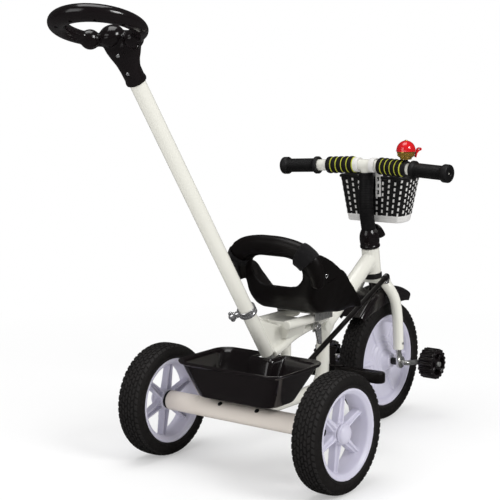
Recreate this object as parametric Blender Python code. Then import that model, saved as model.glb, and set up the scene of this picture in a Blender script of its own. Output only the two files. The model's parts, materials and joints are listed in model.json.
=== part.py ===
"""A child's push tricycle: welded frame, three foam-tyred wheels, steered fork and parent push bar.

Run with: blender --background --python part.py
Metres, +Z up. The rider faces -Y and the rider's left is +X. The origin is at ground level, in the
middle of the tricycle's length and width. Places below are worked out from the rear axle, and one
empty at the end moves everything from there to the origin.
"""

from math import atan2, cos, hypot, pi, radians, sin

import bmesh
import bpy
from mathutils import Matrix, Vector

MM = 0.001
CLEAR = 0.3 * MM
TURNS = {"wheel": 36, "ring": 24, "round": 16, "small": 12}

# Wheels
REAR_RADIUS = 105 * MM
REAR_RIM_RADIUS = REAR_RADIUS - 26 * MM
REAR_WIDTH = 50 * MM
TRACK = 388 * MM
FRONT_RADIUS = 122.5 * MM
FRONT_RIM_RADIUS = FRONT_RADIUS - 29.5 * MM
FRONT_WIDTH = 45 * MM
WHEELBASE = 443 * MM
SHOULDER = 8 * MM
RIM_WALL = 6 * MM
RIM_INSET = 1.5 * MM
WEB_WALL = 6 * MM
REAR_SPOKES = 6
FRONT_SPOKES = 6
SPOKE_WIDTH = 13 * MM
SPOKE_DEPTH = 21 * MM
SPOKE_START = radians(20)
WINDOW_HUB = 9 * MM
WINDOW_EDGE = 15 * MM
HUB_RADIUS = 19 * MM
REAR_HUB_LENGTH = 22 * MM
FRONT_HUB_LENGTH = 60 * MM
FRONT_HUB_RADIUS = 14 * MM
HUB_CAP_RADIUS = 18 * MM
HUB_CAP_HEIGHT = 12 * MM
HUB_CAP_WALL = 2 * MM
REAR_AXLE_RADIUS = 6 * MM
NUT_RADIUS = 9 * MM
NUT_LENGTH = 5 * MM
COLLAR_LENGTH = 6 * MM
COLLAR_RADIUS = 17 * MM
AXLE_TUBE = 18 * MM
AXLE_WALL = 2 * MM
AXLE_BUSH = 10 * MM
PLUG_PLACES = {"left": 51 * MM, "right": -32 * MM}
PLUG_ANGLE = radians(52)
PLUG_RADIUS = 3 * MM
PLUG_HEAD = 4.5 * MM

# Steering
HEAD_TILT = radians(8.8)
HEAD_STAND = 14 * MM
HEAD_LENGTH = 51 * MM
HEAD_RADIUS = 18 * MM
STEERER_RADIUS = 12.5 * MM
STEERER_STAND = 16 * MM
CROWN_GAP = 18.5 * MM
CROWN_WALL = 8 * MM
CROWN_WIDTH = 26 * MM
LEG_RADIUS = 11 * MM
LEG_SPREAD = 48 * MM
LEG_TOP_SPREAD = 28 * MM
LEG_END_RISE = 27.5 * MM
BRACKET_WALL = 5 * MM
BRACKET_WIDTH = 15 * MM
BRACKET_FOOT = 12 * MM
BRACKET_INSERT = 14 * MM
POST_LENGTH = 150 * MM
BAR_FORWARD = 9 * MM
BAR_DROP = 8 * MM
BAR_SWEEP = 10 * MM
BAR_BEND = 24 * MM
BAR_HALF = 190 * MM
BAR_RADIUS = 11.5 * MM
POST_RADIUS = 11 * MM
SLEEVE_RADIUS = 14.5 * MM
SLEEVE_BOW = 7 * MM
FOAM_RADIUS = 17 * MM
FOAM_START = {"left": 24 * MM, "right": 32 * MM}
FOAM_LENGTH = {"left": 62 * MM, "right": 56 * MM}
GRIP_START = 108 * MM
GRIP_RADIUS = 13.8 * MM
GRIP_FLANGE = 17.5 * MM
GRIP_END = 3 * MM
BOOT_GAP = 2 * MM
BOOT_STAND = 38 * MM
BOOT_RADIUS = 20 * MM

# Fender
TYRE_GAP = 29.5 * MM
FENDER_HALF = 28 * MM
FENDER_WALL = 2.5 * MM
FENDER_SKIRT = 31 * MM
FENDER_CORNER = 9 * MM
FENDER_AHEAD = 31
FENDER_BEHIND = 46
FENDER_STAY = 9 * MM

# Cranks and pedals
CRANK_RADIUS = 58 * MM
CRANK_ANGLE = radians(8)
CRANK_OFFSET = 65.3 * MM
CRANK_ROD = 5 * MM
CRANK_BEND = 6.5 * MM
SPACER_RADIUS = 7 * MM
PEDAL_RADIUS = 31 * MM
PEDAL_WIDTH = 33 * MM
PEDAL_TEETH = 18
PEDAL_TOOTH = 3 * MM
PEDAL_START = CRANK_OFFSET + CRANK_BEND + CLEAR

# Frame
TUBE_BIG = 16 * MM
TUBE_SMALL = 13 * MM
DOWN_TUBE_DROP = 21 * MM
DOWN_TUBE_SET = 5 * MM
UPRIGHT_Y = -240 * MM
ELBOW = Vector((0, UPRIGHT_Y - 6 * MM, REAR_RADIUS + 123 * MM))
SPINE_WIDTH = 34 * MM
SPINE_HEIGHT = 22 * MM
STRUT_Y = -120 * MM
SPINE_BEND_Y = -120 * MM
STRUT_RADIUS = 10 * MM
RAIL_SPREAD = 32 * MM
RAIL_RADIUS = 9 * MM
RAIL_LIFT = 52 * MM
RAIL_BACK = -78 * MM
RAIL_LENGTH = 122 * MM
SADDLE_BACK = -98 * MM
SADDLE_LENGTH = 52 * MM
GUSSET_WALL = 8 * MM

# Push bar
PUSH_TILT = radians(33.9)
PUSH_FOOT = Vector((0, -64 * MM, REAR_RADIUS + 100 * MM))
BEARING_RADIUS = 13 * MM
BEARING_LENGTH = 96 * MM
SHAFT_RADIUS = 9.5 * MM
SHAFT_BELOW = 54 * MM
SHAFT_ABOVE = 62 * MM
PUSH_RADIUS = 13.2 * MM
PUSH_TOP = 616 * MM
PUSH_NECK = 594 * MM
COLLAR_GRIP = 15.5 * MM
CLAMP_START = 2 * MM
CLAMP_LENGTH = 14 * MM
CLAMP_WALL = 3.5 * MM
CLAMP_EAR = 5 * MM
CLAMP_SIDE = Vector((0.742, 0.557, -0.374))
KNOB_RADIUS = 11 * MM
KNOB_LENGTH = 11 * MM
KNOB_LOBES = 5
WHEEL_RING_RADIUS = 62 * MM
WHEEL_RING_WIDE = 16.5 * MM
WHEEL_RING_HIGH = 13.5 * MM
WHEEL_RING_TILT = radians(17.4)
WHEEL_RING_CENTRE = PUSH_FOOT + Vector((2 * MM, 414 * MM, 576 * MM))
WHEEL_TURN = radians(10)
BOSS_SPREAD = 34 * MM
BOSS_RADIUS = 13 * MM

# Steering linkage
ARM_REACH = 48 * MM
ARM_ALONG = -45 * MM
ARM_WALL = 5 * MM
ROD_RADIUS = 5 * MM
ROD_LIFT = 12 * MM
ROD_SET = 27 * MM
ROD_EYE_HALF = 13 * MM
ROD_EYE_WALL = 3 * MM
SLOT_HALF = 8.5 * MM
SLOT_RADIUS = 5.4 * MM
PIN_RADIUS = 3 * MM
PIN_LENGTH = 9 * MM
EYE_LIFT = 5 * MM
ROD_CAP_RADIUS = 6.6 * MM
LINK_WALL = 2.4 * MM

# Seat
SEAT_HALF = 100 * MM
SEAT_WALL = 4 * MM
SEAT_STAND = 7 * MM
SEAT_FRONT = -232 * MM
SEAT_LIP = 6 * MM
SEAT_RISE = 132 * MM
SEAT_EDGE_RUN = 166 * MM
SEAT_EDGE_BULGE = 14 * MM
BACK_RUN = 134 * MM
BACK_RISE = 57 * MM
BACK_LEAN = radians(18)
HOOP_WIDE = 20 * MM
HOOP_THICK = 15 * MM
HOOP_TOP = 73 * MM
HOOP_HALF = SEAT_HALF - 14 * MM
OPENING_SIDE = 31 * MM
OPENING_HIGH = 28 * MM
OPENING_LIFT = 21 * MM
PAD_WALL = 5 * MM
STRAP_WALL = 1.2 * MM
BRACKET_HALF = 44 * MM
BRACKET_SET = 22 * MM
BRACKET_LENGTH = 58 * MM
LUG_X = -21 * MM
LUG_WALL = 3 * MM
LEVER_DROP = 22 * MM
LEVER_SET = 24 * MM
LEVER_WALL = 6 * MM
LEVER_LENGTH = 30 * MM
SEAT_TRAVEL = 20 * MM

# Footrests
PEG_HINGE = 30 * MM
PEG_REACH = 130 * MM
PEG_AHEAD = 12 * MM
PEG_HEIGHT = REAR_RADIUS + 34 * MM
PEG_THICK = 20 * MM
PEG_ROOT = 9 * MM
PEG_END = 13 * MM
EAR_WALL = 3.5 * MM
EAR_RADIUS = 11 * MM
PLATE_TOP = PEG_HEIGHT + 45 * MM
PLATE_HALF = 14 * MM

# Tray
TRAY_HALF = 119 * MM
TRAY_FLOOR_HALF = 86 * MM
TRAY_BACK = 66 * MM
TRAY_FRONT = -86 * MM
TRAY_FLOOR_BACK = 43 * MM
TRAY_FLOOR_FRONT = -40 * MM
TRAY_TOP = REAR_RADIUS + 96 * MM
TRAY_STAND = 12 * MM
TRAY_WALL = 3 * MM
TRAY_RIM = 5 * MM
NOTCH_HALF = 25 * MM
NOTCH_TOP = -43 * MM
NOTCH_FLOOR = -22 * MM
NOTCH_CORNER = 8 * MM
TRAY_BOSS = 40 * MM
TRAY_CORNER = 26 * MM

# Basket
BASKET_HALF = 77 * MM
BASKET_DEPTH = 119 * MM
BASKET_HANG = 22 * MM
BASKET_HIGH = 93 * MM
BASKET_BOTTOM_HALF = 62 * MM
BASKET_BOTTOM_DEPTH = 87 * MM
BASKET_SET = 2.7 * MM
BASKET_LEAN = 7 * MM
BASKET_WALL = 3 * MM
BASKET_RIM = 3 * MM
HOOK_X = 18.9 * MM
HOOK_WIDTH = 8 * MM
HOOK_WALL = 3 * MM
HOOK_LENGTH = 63 * MM

# Bell
BELL_X = -93.4 * MM
BELL_CLAMP_WIDTH = 9.4 * MM
BELL_CLAMP_RADIUS = 15 * MM
BELL_LIFT = 18.2 * MM
BELL_BASE_RADIUS = 17.2 * MM
BELL_BASE_HEIGHT = 10 * MM
BELL_DOME_RADIUS = 19.5 * MM
BELL_DOME_HEIGHT = 26 * MM
BELL_WALL = 2 * MM
BELL_LEVER_ANGLE = radians(225)
BELL_LEVER_WIDTH = 8 * MM

X_AXIS = Vector((1, 0, 0))
UP = Vector((0, 0, 1))
REAR_AXLE = Vector((0, 0, REAR_RADIUS))
FRONT_AXLE = Vector((0, -WHEELBASE, FRONT_RADIUS))
STEER_AXIS = Vector((0, sin(HEAD_TILT), cos(HEAD_TILT)))
FENDER_RADIUS = FRONT_RADIUS + TYRE_GAP
CROWN_HEIGHT = FRONT_RADIUS + (FENDER_RADIUS + CROWN_GAP) * STEER_AXIS.z
HEAD_BOTTOM = CROWN_HEIGHT + HEAD_STAND
HEAD_TOP = HEAD_BOTTOM + HEAD_LENGTH
STEERER_TOP = HEAD_TOP + STEERER_STAND
BOOT_TOP = HEAD_TOP + BOOT_STAND
BAR_HEIGHT = STEERER_TOP + POST_LENGTH
LEG_END_HEIGHT = FRONT_RADIUS + LEG_END_RISE
BASKET_TOP = BAR_HEIGHT - BASKET_HANG
BASKET_BOTTOM = BASKET_TOP - BASKET_HIGH
HOOK_BOTTOM = BAR_HEIGHT - HOOK_LENGTH
PUSH_AXIS = Vector((0, sin(PUSH_TILT), cos(PUSH_TILT)))
RAIL_HEIGHT = PUSH_FOOT.z + RAIL_LIFT
RAIL_FRONT = RAIL_BACK - RAIL_LENGTH
SADDLE_FRONT = SADDLE_BACK - SADDLE_LENGTH
SEAT_HEIGHT = RAIL_HEIGHT + RAIL_RADIUS + SEAT_STAND
SEAT_EDGE_FRONT = Vector((SEAT_FRONT + SEAT_LIP, SEAT_HEIGHT + SEAT_LIP))
SEAT_EDGE_BACK = Vector((SEAT_FRONT + SEAT_LIP + SEAT_EDGE_RUN, SEAT_HEIGHT + SEAT_RISE))
BACK_FOOT = Vector((0, SEAT_FRONT + BACK_RUN, SEAT_HEIGHT + BACK_RISE))
BRACKET_FRONT = SEAT_FRONT + BRACKET_SET
BRACKET_BACK = BRACKET_FRONT + BRACKET_LENGTH
LEVER_PIVOT = Vector((LUG_X, BRACKET_FRONT + LEVER_SET, RAIL_HEIGHT - LEVER_DROP))
PEG_Y = UPRIGHT_Y - PEG_AHEAD
BACK_UP = Vector((0, sin(BACK_LEAN), cos(BACK_LEAN)))
BACK_FORWARD = Vector((0, -cos(BACK_LEAN), sin(BACK_LEAN)))
RING_REACH = hypot(WHEEL_RING_WIDE * cos(WHEEL_RING_TILT), WHEEL_RING_HIGH * sin(WHEEL_RING_TILT))
REAR_END = WHEEL_RING_CENTRE.y + WHEEL_RING_RADIUS * cos(WHEEL_RING_TILT) + RING_REACH
REAR_AXLE_Y = (WHEELBASE + FRONT_RADIUS - REAR_END) / 2
SIDES = (("left", 1), ("right", -1))

WHITE = ("frame_white", (0.86, 0.85, 0.81), 0.3)
CREAM = ("axle_cream", (0.84, 0.80, 0.74), 0.35)
RIM_WHITE = ("rim_plastic", (0.80, 0.79, 0.88), 0.4)
TYRE_BLACK = ("tyre_foam", (0.025, 0.024, 0.023), 0.85)
GLOSS_BLACK = ("gloss_black", (0.012, 0.012, 0.013), 0.2)
SATIN_BLACK = ("seat_plastic", (0.035, 0.03, 0.03), 0.45)
RUBBER = ("rubber_black", (0.02, 0.02, 0.02), 0.7)
ZINC = ("zinc_steel", (0.62, 0.61, 0.58), 0.35, 1.0)
CHROME = ("chrome_steel", (0.75, 0.75, 0.75), 0.15, 1.0)
FOAM = ("bar_foam", (0.03, 0.028, 0.026), 0.8)
RED = ("bell_red", (0.75, 0.02, 0.02), 0.25)
GOLD = ("bell_gold", (0.85, 0.6, 0.15), 0.3, 1.0)
WEBBING = ("harness_webbing", (0.02, 0.02, 0.02), 0.9)
BASKET = ("basket_plastic", (0.03, 0.03, 0.03), 0.4)


def on_head(height):
    """The point of the steering axis at this height."""
    return FRONT_AXLE + STEER_AXIS * ((height - FRONT_RADIUS) / STEER_AXIS.z)


DOWN_TUBE_TOP = on_head(HEAD_TOP - DOWN_TUBE_DROP) + Vector((0, DOWN_TUBE_SET, 0))
ROD_FRONT = on_head(CROWN_HEIGHT + ROD_LIFT) + Vector((-ARM_REACH, ROD_SET, 0))
BAR_Y = on_head(BAR_HEIGHT).y - BAR_FORWARD
BASKET_BACK = BAR_Y - BAR_RADIUS - CLEAR - HOOK_WALL - BASKET_SET


def on_push(along):
    """The point of the push bar's axis this far above its foot."""
    return PUSH_FOOT + PUSH_AXIS * along


def on_back(across, rise):
    """The point of the seat back this far to the left and this far up from its foot."""
    return BACK_FOOT + X_AXIS * across + BACK_UP * rise


def clear_scene():
    for obj in list(bpy.data.objects):
        bpy.data.objects.remove(obj)


def material(name, colour, roughness, metallic=0.0):
    found = bpy.data.materials.get(name)
    if found:
        return found
    made = bpy.data.materials.new(name)
    made.use_nodes = True
    shader = made.node_tree.nodes["Principled BSDF"]
    shader.inputs["Base Color"].default_value = (*colour, 1)
    shader.inputs["Roughness"].default_value = roughness
    shader.inputs["Metallic"].default_value = metallic
    return made


def turned_to(direction, at=(0, 0, 0)):
    """A matrix that takes local +Z to a direction and the local origin to a point."""
    return Matrix.Translation(Vector(at)) @ Vector(direction).to_track_quat("Z", "Y").to_matrix().to_4x4()


def from_axes(x_axis, y_axis, z_axis, at=(0, 0, 0)):
    """A matrix whose local axes are these world directions."""
    return Matrix.Translation(Vector(at)) @ Matrix((x_axis, y_axis, z_axis)).transposed().to_4x4()


def side_plane(at=(0, 0, 0)):
    """Local X, Y and Z become world Y, Z and X, for outlines drawn in side view."""
    return from_axes((0, 1, 0), UP, X_AXIS, at)


def lathe(profile, matrix, steps):
    """Turns (radius, along) points round local Z. A profile that starts off the axis is closed to a ring."""
    mesh = bmesh.new()
    rings = []
    for radius, along in profile:
        if radius <= 0:
            rings.append([mesh.verts.new(matrix @ Vector((0, 0, along)))])
            continue
        ring = []
        for step in range(steps):
            angle = 2 * pi * step / steps
            ring.append(mesh.verts.new(matrix @ Vector((radius * cos(angle), radius * sin(angle), along))))
        rings.append(ring)
    is_solid = len(rings[0]) == 1 and len(rings[-1]) == 1
    pairs = list(zip(rings, rings[1:])) + ([] if is_solid else [(rings[-1], rings[0])])
    for first, second in pairs:
        bridge(mesh, first, second)
    return outward(mesh)


def bridge(mesh, first, second):
    """Faces between two closed rings of points, either of which may be one point."""
    count = max(len(first), len(second))
    for step in range(count):
        after = (step + 1) % count
        if len(first) == 1:
            mesh.faces.new((first[0], second[after], second[step]))
        elif len(second) == 1:
            mesh.faces.new((first[step], first[after], second[0]))
        else:
            mesh.faces.new((first[step], first[after], second[after], second[step]))


def outward(mesh):
    bmesh.ops.recalc_face_normals(mesh, faces=mesh.faces)
    return mesh


def rod(matrix, radius, low, high, steps=TURNS["round"]):
    """A plain cylinder between two distances along local Z."""
    return lathe([(0, low), (radius, low), (radius, high), (0, high)], matrix, steps)


def ring(matrix, outer, inner, low, high, steps=TURNS["round"]):
    """A bored cylinder between two distances along local Z."""
    return lathe([(outer, low), (outer, high), (inner, high), (inner, low)], matrix, steps)


def loft(rings):
    """A closed solid through rings of world points that have equally many points."""
    mesh = bmesh.new()
    made = [[mesh.verts.new(point) for point in points] for points in rings]
    for first, second in zip(made, made[1:]):
        bridge(mesh, first, second)
    mesh.faces.new(made[0])
    mesh.faces.new(made[-1])
    return outward(mesh)


def smooth_line(points, per_span=4):
    """A Catmull-Rom curve through the points."""
    points = [Vector(point) for point in points]
    ends = [points[0] * 2 - points[1]] + points + [points[-1] * 2 - points[-2]]
    line = []
    for index in range(1, len(ends) - 2):
        a, b, c, d = ends[index - 1 : index + 3]
        for step in range(per_span):
            t = step / per_span
            line.append(
                0.5 * (2 * b + (c - a) * t + (2 * a - 5 * b + 4 * c - d) * t * t + (3 * b - a - 3 * c + d) * t**3)
            )
    return line + [points[-1]]


def tube(points, radius, sides, closed=False, flat=1.0, side=X_AXIS):
    """A round bar along world points. flat is its width along `side` over its width across it."""
    points = [Vector(point) for point in points]
    count = len(points)
    rings = []
    for index, point in enumerate(points):
        before = points[index - 1] if closed or index else point
        after = points[(index + 1) % count] if closed or index < count - 1 else point
        along = (after - before).normalized()
        across = (side - along * side.dot(along)).normalized()
        other = along.cross(across)
        here = radius(index / (count - 1)) if callable(radius) else radius
        section = []
        for step in range(sides):
            angle = 2 * pi * (step + 0.5) / sides
            section.append(point + across * (here * flat * cos(angle)) + other * (here * sin(angle)))
        rings.append(section)
    if not closed:
        return loft(rings)
    mesh = bmesh.new()
    made = [[mesh.verts.new(point) for point in section] for section in rings]
    for first, second in zip(made, made[1:] + made[:1]):
        bridge(mesh, first, second)
    return outward(mesh)


def prism(outline, low, high, matrix):
    """An outline of local (x, y) points between two heights of local z."""
    return loft([[matrix @ Vector((x, y, z)) for x, y in outline] for z in (low, high)])


def box(low, high):
    low, high = Vector(low), Vector(high)
    outline = [(low.x, low.y), (high.x, low.y), (high.x, high.y), (low.x, high.y)]
    return prism(outline, low.z, high.z, Matrix.Identity(4))


def rounded(half_x, half_y, radius, steps=4, centre=(0, 0)):
    """A rectangle outline with round corners."""
    points = []
    for corner, (sign_x, sign_y) in enumerate(((1, 1), (-1, 1), (-1, -1), (1, -1))):
        for step in range(steps + 1):
            angle = (corner + step / steps) * pi / 2
            points.append(
                (
                    centre[0] + sign_x * (half_x - radius) + radius * cos(angle),
                    centre[1] + sign_y * (half_y - radius) + radius * sin(angle),
                )
            )
    return points


def capsule(start, end, start_radius, end_radius, steps=6):
    """The outline of a strap or plate with two round ends, in local x and y."""
    start, end = Vector(start), Vector(end)
    heading = atan2(end.y - start.y, end.x - start.x)
    points = []
    for centre, radius, first in ((end, end_radius, -pi / 2), (start, start_radius, pi / 2)):
        for step in range(steps + 1):
            angle = heading + first + pi * step / steps
            points.append((centre.x + radius * cos(angle), centre.y + radius * sin(angle)))
    return points


def piece(name, mesh, finish, at=(0, 0, 0), sharp=35):
    """An object whose origin is at a world point, with its mesh given in world points."""
    at = Vector(at)
    bmesh.ops.translate(mesh, verts=mesh.verts, vec=-at)
    data = bpy.data.meshes.new(name)
    mesh.to_mesh(data)
    mesh.free()
    data.shade_smooth()
    data.set_sharp_from_angle(angle=radians(sharp))
    made = bpy.data.objects.new(name, data)
    bpy.context.scene.collection.objects.link(made)
    made.location = at
    if finish:
        data.materials.append(material(*finish))
    return made


def combine(target, operation, meshes):
    """Joins or cuts helper meshes, given in world points, with Boolean modifiers."""
    for mesh in meshes:
        helper = piece(f"{target.name}_{operation.lower()}_{len(target.modifiers)}", mesh, None)
        helper.hide_render = True
        helper.display_type = "WIRE"
        boolean = target.modifiers.new(helper.name, "BOOLEAN")
        boolean.operation = operation
        boolean.solver = "EXACT"
        boolean.object = helper
    return target


def join(target, *meshes):
    return combine(target, "UNION", meshes)


def cut(target, *meshes):
    return combine(target, "DIFFERENCE", meshes)


def tyre(name, centre, radius, inner, width):
    """A foam tyre with a round shoulder on each side."""
    half = width / 2
    right = [
        (inner, half - RIM_INSET),
        (inner + SHOULDER / 3, half),
        (radius - SHOULDER, half),
        (radius - SHOULDER / 4, half - SHOULDER * 0.6),
        (radius, half - 2 * SHOULDER),
    ]
    profile = [(out, -along) for out, along in right] + right[::-1]
    piece(name, lathe(profile, turned_to(X_AXIS, centre), TURNS["wheel"]), TYRE_BLACK, centre)


def spoke_ribs(count, inner, outer, depth, matrix):
    """Straight ribs from the hub to the rim."""
    ribs = []
    for number in range(count):
        turn = Matrix.Rotation(2 * pi * number / count, 4, "Z")
        half = SPOKE_WIDTH / 2
        outline = [(inner, -half), (outer, -half * 0.7), (outer, half * 0.7), (inner, half)]
        ribs.append(prism(outline, -depth / 2, depth / 2, matrix @ turn))
    return ribs


def windows(matrix):
    """Cutters for the openings between a rear rim's arms."""
    cutters = []
    half_gap = pi / REAR_SPOKES
    flank = SPOKE_WIDTH / 2
    outer = REAR_RIM_RADIUS - WINDOW_EDGE
    for number in range(REAR_SPOKES):
        turn = Matrix.Rotation(2 * pi * (number + 0.5) / REAR_SPOKES, 4, "Z")
        right = []
        for radius in (HUB_RADIUS + WINDOW_HUB, outer - flank):
            across = radius * sin(half_gap) - flank * cos(half_gap)
            right.append((radius * cos(half_gap) + flank * sin(half_gap), across))
        right.append((outer, right[1][1] / 2))
        outline = [(x, -y) for x, y in right] + right[::-1]
        cutters.append(prism(outline, -WEB_WALL, WEB_WALL, matrix @ turn))
    return cutters


def rear_wheel(word, side):
    """Tyre, spoked rim, axle nut and hub cap on one side."""
    centre = REAR_AXLE + X_AXIS * (side * TRACK / 2)
    facing = turned_to(X_AXIS * side, centre)
    star = facing @ Matrix.Rotation(SPOKE_START, 4, "Z")
    tyre(f"rear_tyre_{word}", centre, REAR_RADIUS, REAR_RIM_RADIUS + CLEAR, REAR_WIDTH)
    half = REAR_WIDTH / 2 - RIM_INSET
    dish = REAR_RIM_RADIUS - RIM_WALL
    hub_half = REAR_HUB_LENGTH / 2
    bore = REAR_AXLE_RADIUS + CLEAR
    right = [
        (REAR_RIM_RADIUS, half),
        (dish, half),
        (dish - RIM_WALL, WEB_WALL / 2),
        (HUB_RADIUS, WEB_WALL / 2),
        (HUB_RADIUS, hub_half),
        (bore, hub_half),
    ]
    profile = right + [(out, -along) for out, along in right[::-1]]
    rim = piece(f"rear_rim_{word}", lathe(profile, facing, TURNS["wheel"]), RIM_WHITE, centre)
    join(rim, *spoke_ribs(REAR_SPOKES, HUB_RADIUS - RIM_WALL, dish + RIM_WALL / 2, SPOKE_DEPTH, star))
    cut(rim, *windows(star))
    cut(rim, rod(facing, bore, -SPOKE_DEPTH, SPOKE_DEPTH))
    start = hub_half + CLEAR
    hexagon = [(NUT_RADIUS * cos(pi * k / 3), NUT_RADIUS * sin(pi * k / 3)) for k in range(6)]
    nut = piece(f"axle_nut_{word}", prism(hexagon, start, start + NUT_LENGTH, facing), ZINC, centre)
    cut(nut, rod(facing, bore, 0, 2 * start + NUT_LENGTH, TURNS["small"]))
    shoulder = start + HUB_CAP_HEIGHT / 3
    outer = [(HUB_CAP_RADIUS, start)]
    for step in range(4):
        angle = pi / 2 * step / 4
        rise = (HUB_CAP_HEIGHT - HUB_CAP_HEIGHT / 3) * sin(angle)
        outer.append((HUB_CAP_RADIUS * cos(angle), shoulder + rise))
    outer.append((0, start + HUB_CAP_HEIGHT))
    inner_radius = HUB_CAP_RADIUS - HUB_CAP_WALL
    inner_top = start + HUB_CAP_HEIGHT - HUB_CAP_WALL
    inner = [(0, inner_top), (inner_radius * 0.75, inner_top - HUB_CAP_WALL), (inner_radius, shoulder), (inner_radius, start)]
    cap = lathe(outer[::-1] + inner[::-1], facing, TURNS["round"])
    piece(f"hub_cap_{word}", cap, RIM_WHITE, centre)


def rear_axle():
    """The axle tube with its rod, end collars and two push-in plugs."""
    reach = TRACK / 2 - REAR_HUB_LENGTH / 2 - CLEAR
    half = reach - COLLAR_LENGTH - CLEAR
    along = turned_to(X_AXIS, REAR_AXLE)
    bore = REAR_AXLE_RADIUS + CLEAR
    right = [
        (AXLE_TUBE, half),
        (bore, half),
        (bore, half - AXLE_BUSH),
        (AXLE_TUBE - AXLE_WALL, half - AXLE_BUSH),
    ]
    profile = right + [(out, -at) for out, at in right[::-1]]
    tube_piece = piece("rear_axle_tube", lathe(profile, along, TURNS["ring"]), CREAM, REAR_AXLE)
    rod_half = TRACK / 2 + REAR_HUB_LENGTH / 2 + CLEAR + NUT_LENGTH
    piece("rear_axle_rod", rod(along, REAR_AXLE_RADIUS, -rod_half, rod_half, TURNS["small"]), ZINC, REAR_AXLE)
    for word, side in SIDES:
        facing = turned_to(X_AXIS * side, REAR_AXLE)
        collar = ring(facing, COLLAR_RADIUS, bore, reach - COLLAR_LENGTH, reach)
        piece(f"wheel_collar_{word}", collar, RUBBER, REAR_AXLE)
        out = Vector((0, cos(PLUG_ANGLE), sin(PLUG_ANGLE)))
        at = REAR_AXLE + X_AXIS * PLUG_PLACES[word]
        plug_facing = turned_to(out, at)
        seat = AXLE_TUBE + CLEAR
        cut(tube_piece, rod(plug_facing, PLUG_RADIUS + CLEAR, AXLE_TUBE / 2, AXLE_TUBE + PLUG_HEAD, TURNS["small"]))
        profile = [
            (0, seat + PLUG_HEAD / 3),
            (PLUG_HEAD * 0.7, seat + PLUG_HEAD / 4),
            (PLUG_HEAD, seat),
            (PLUG_RADIUS, seat),
            (PLUG_RADIUS, seat - PLUG_HEAD),
            (0, seat - PLUG_HEAD),
        ]
        piece(f"tube_plug_{word}", lathe(profile, plug_facing, TURNS["small"]), RUBBER, at + out * seat)


def front_wheel():
    """Tyre and ribbed rim of the front wheel."""
    tyre("front_tyre", FRONT_AXLE, FRONT_RADIUS, FRONT_RIM_RADIUS + CLEAR, FRONT_WIDTH)
    facing = turned_to(X_AXIS, FRONT_AXLE)
    half = FRONT_WIDTH / 2 - 2 * RIM_INSET
    dish = FRONT_RIM_RADIUS - RIM_WALL
    bore = CRANK_ROD + CLEAR
    step_radius = 2 * HUB_RADIUS
    right = [
        (FRONT_RIM_RADIUS, half),
        (dish, half),
        (dish - RIM_WALL, WEB_WALL),
        (step_radius + RIM_WALL, WEB_WALL),
        (step_radius, half / 2),
        (HUB_RADIUS, half),
        (FRONT_HUB_RADIUS, FRONT_HUB_LENGTH / 2),
        (bore, FRONT_HUB_LENGTH / 2),
    ]
    profile = right + [(out, -along) for out, along in right[::-1]]
    rim = piece("front_rim", lathe(profile, facing, TURNS["wheel"]), RIM_WHITE, FRONT_AXLE)
    join(rim, *spoke_ribs(FRONT_SPOKES, step_radius - RIM_WALL, dish + RIM_WALL / 2, SPOKE_DEPTH / 1.2, facing))


def pedal_centre(side):
    """The right crank points forward and a little down, the left one back and up."""
    return FRONT_AXLE + Vector((0, cos(CRANK_ANGLE), sin(CRANK_ANGLE))) * (side * CRANK_RADIUS)


def crank_axle():
    """One bent rod: left pedal pin, left arm, axle, right arm and right pedal pin."""
    reach = PEDAL_START + PEDAL_WIDTH + CRANK_ROD / 2
    bend = CRANK_BEND
    points = []
    for side in (-1, 1):
        far = pedal_centre(side)
        arm = (far - FRONT_AXLE).normalized()
        half = [
            far + X_AXIS * (side * reach),
            far + X_AXIS * (side * (CRANK_OFFSET + bend)),
            far + X_AXIS * (side * (CRANK_OFFSET + bend / 3)) - arm * (bend / 3),
            far + X_AXIS * (side * CRANK_OFFSET) - arm * bend,
            FRONT_AXLE + X_AXIS * (side * CRANK_OFFSET) + arm * bend,
            FRONT_AXLE + X_AXIS * (side * (CRANK_OFFSET - bend / 3)) + arm * (bend / 3),
            FRONT_AXLE + X_AXIS * (side * (CRANK_OFFSET - bend)),
        ]
        points += half if side < 0 else half[::-1]
    across = Vector((0, -sin(CRANK_ANGLE), cos(CRANK_ANGLE)))
    piece("crank_axle", tube(points, CRANK_ROD, TURNS["small"], side=across), ZINC, FRONT_AXLE)


def spacer(word, side):
    """The sleeve between the front hub and an axle bracket."""
    start = FRONT_HUB_LENGTH / 2 + CLEAR
    end = LEG_SPREAD - BRACKET_WALL / 2 - CLEAR
    mesh = ring(turned_to(X_AXIS * side, FRONT_AXLE), SPACER_RADIUS, CRANK_ROD + CLEAR, start, end, TURNS["small"])
    piece(f"axle_spacer_{word}", mesh, RUBBER, FRONT_AXLE)


def pedal(word, side):
    """A round pedal with a toothed edge, bored for the crank's pin."""
    centre = pedal_centre(side)
    facing = turned_to(X_AXIS * side, centre - X_AXIS * centre.x)
    outline = []
    for number in range(PEDAL_TEETH):
        for part, depth in ((0, 0), (0.5, 0), (0.65, PEDAL_TOOTH), (0.85, PEDAL_TOOTH)):
            angle = 2 * pi * (number + part) / PEDAL_TEETH
            radius = PEDAL_RADIUS - depth
            outline.append((radius * cos(angle), radius * sin(angle)))
    middle = centre + X_AXIS * (side * (PEDAL_START + PEDAL_WIDTH / 2))
    end = PEDAL_START + PEDAL_WIDTH
    made = piece(f"pedal_{word}", prism(outline, PEDAL_START, end, facing), GLOSS_BLACK, middle)
    cut(made, rod(facing, CRANK_ROD + CLEAR, CRANK_OFFSET, 2 * end, TURNS["small"]))


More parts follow.
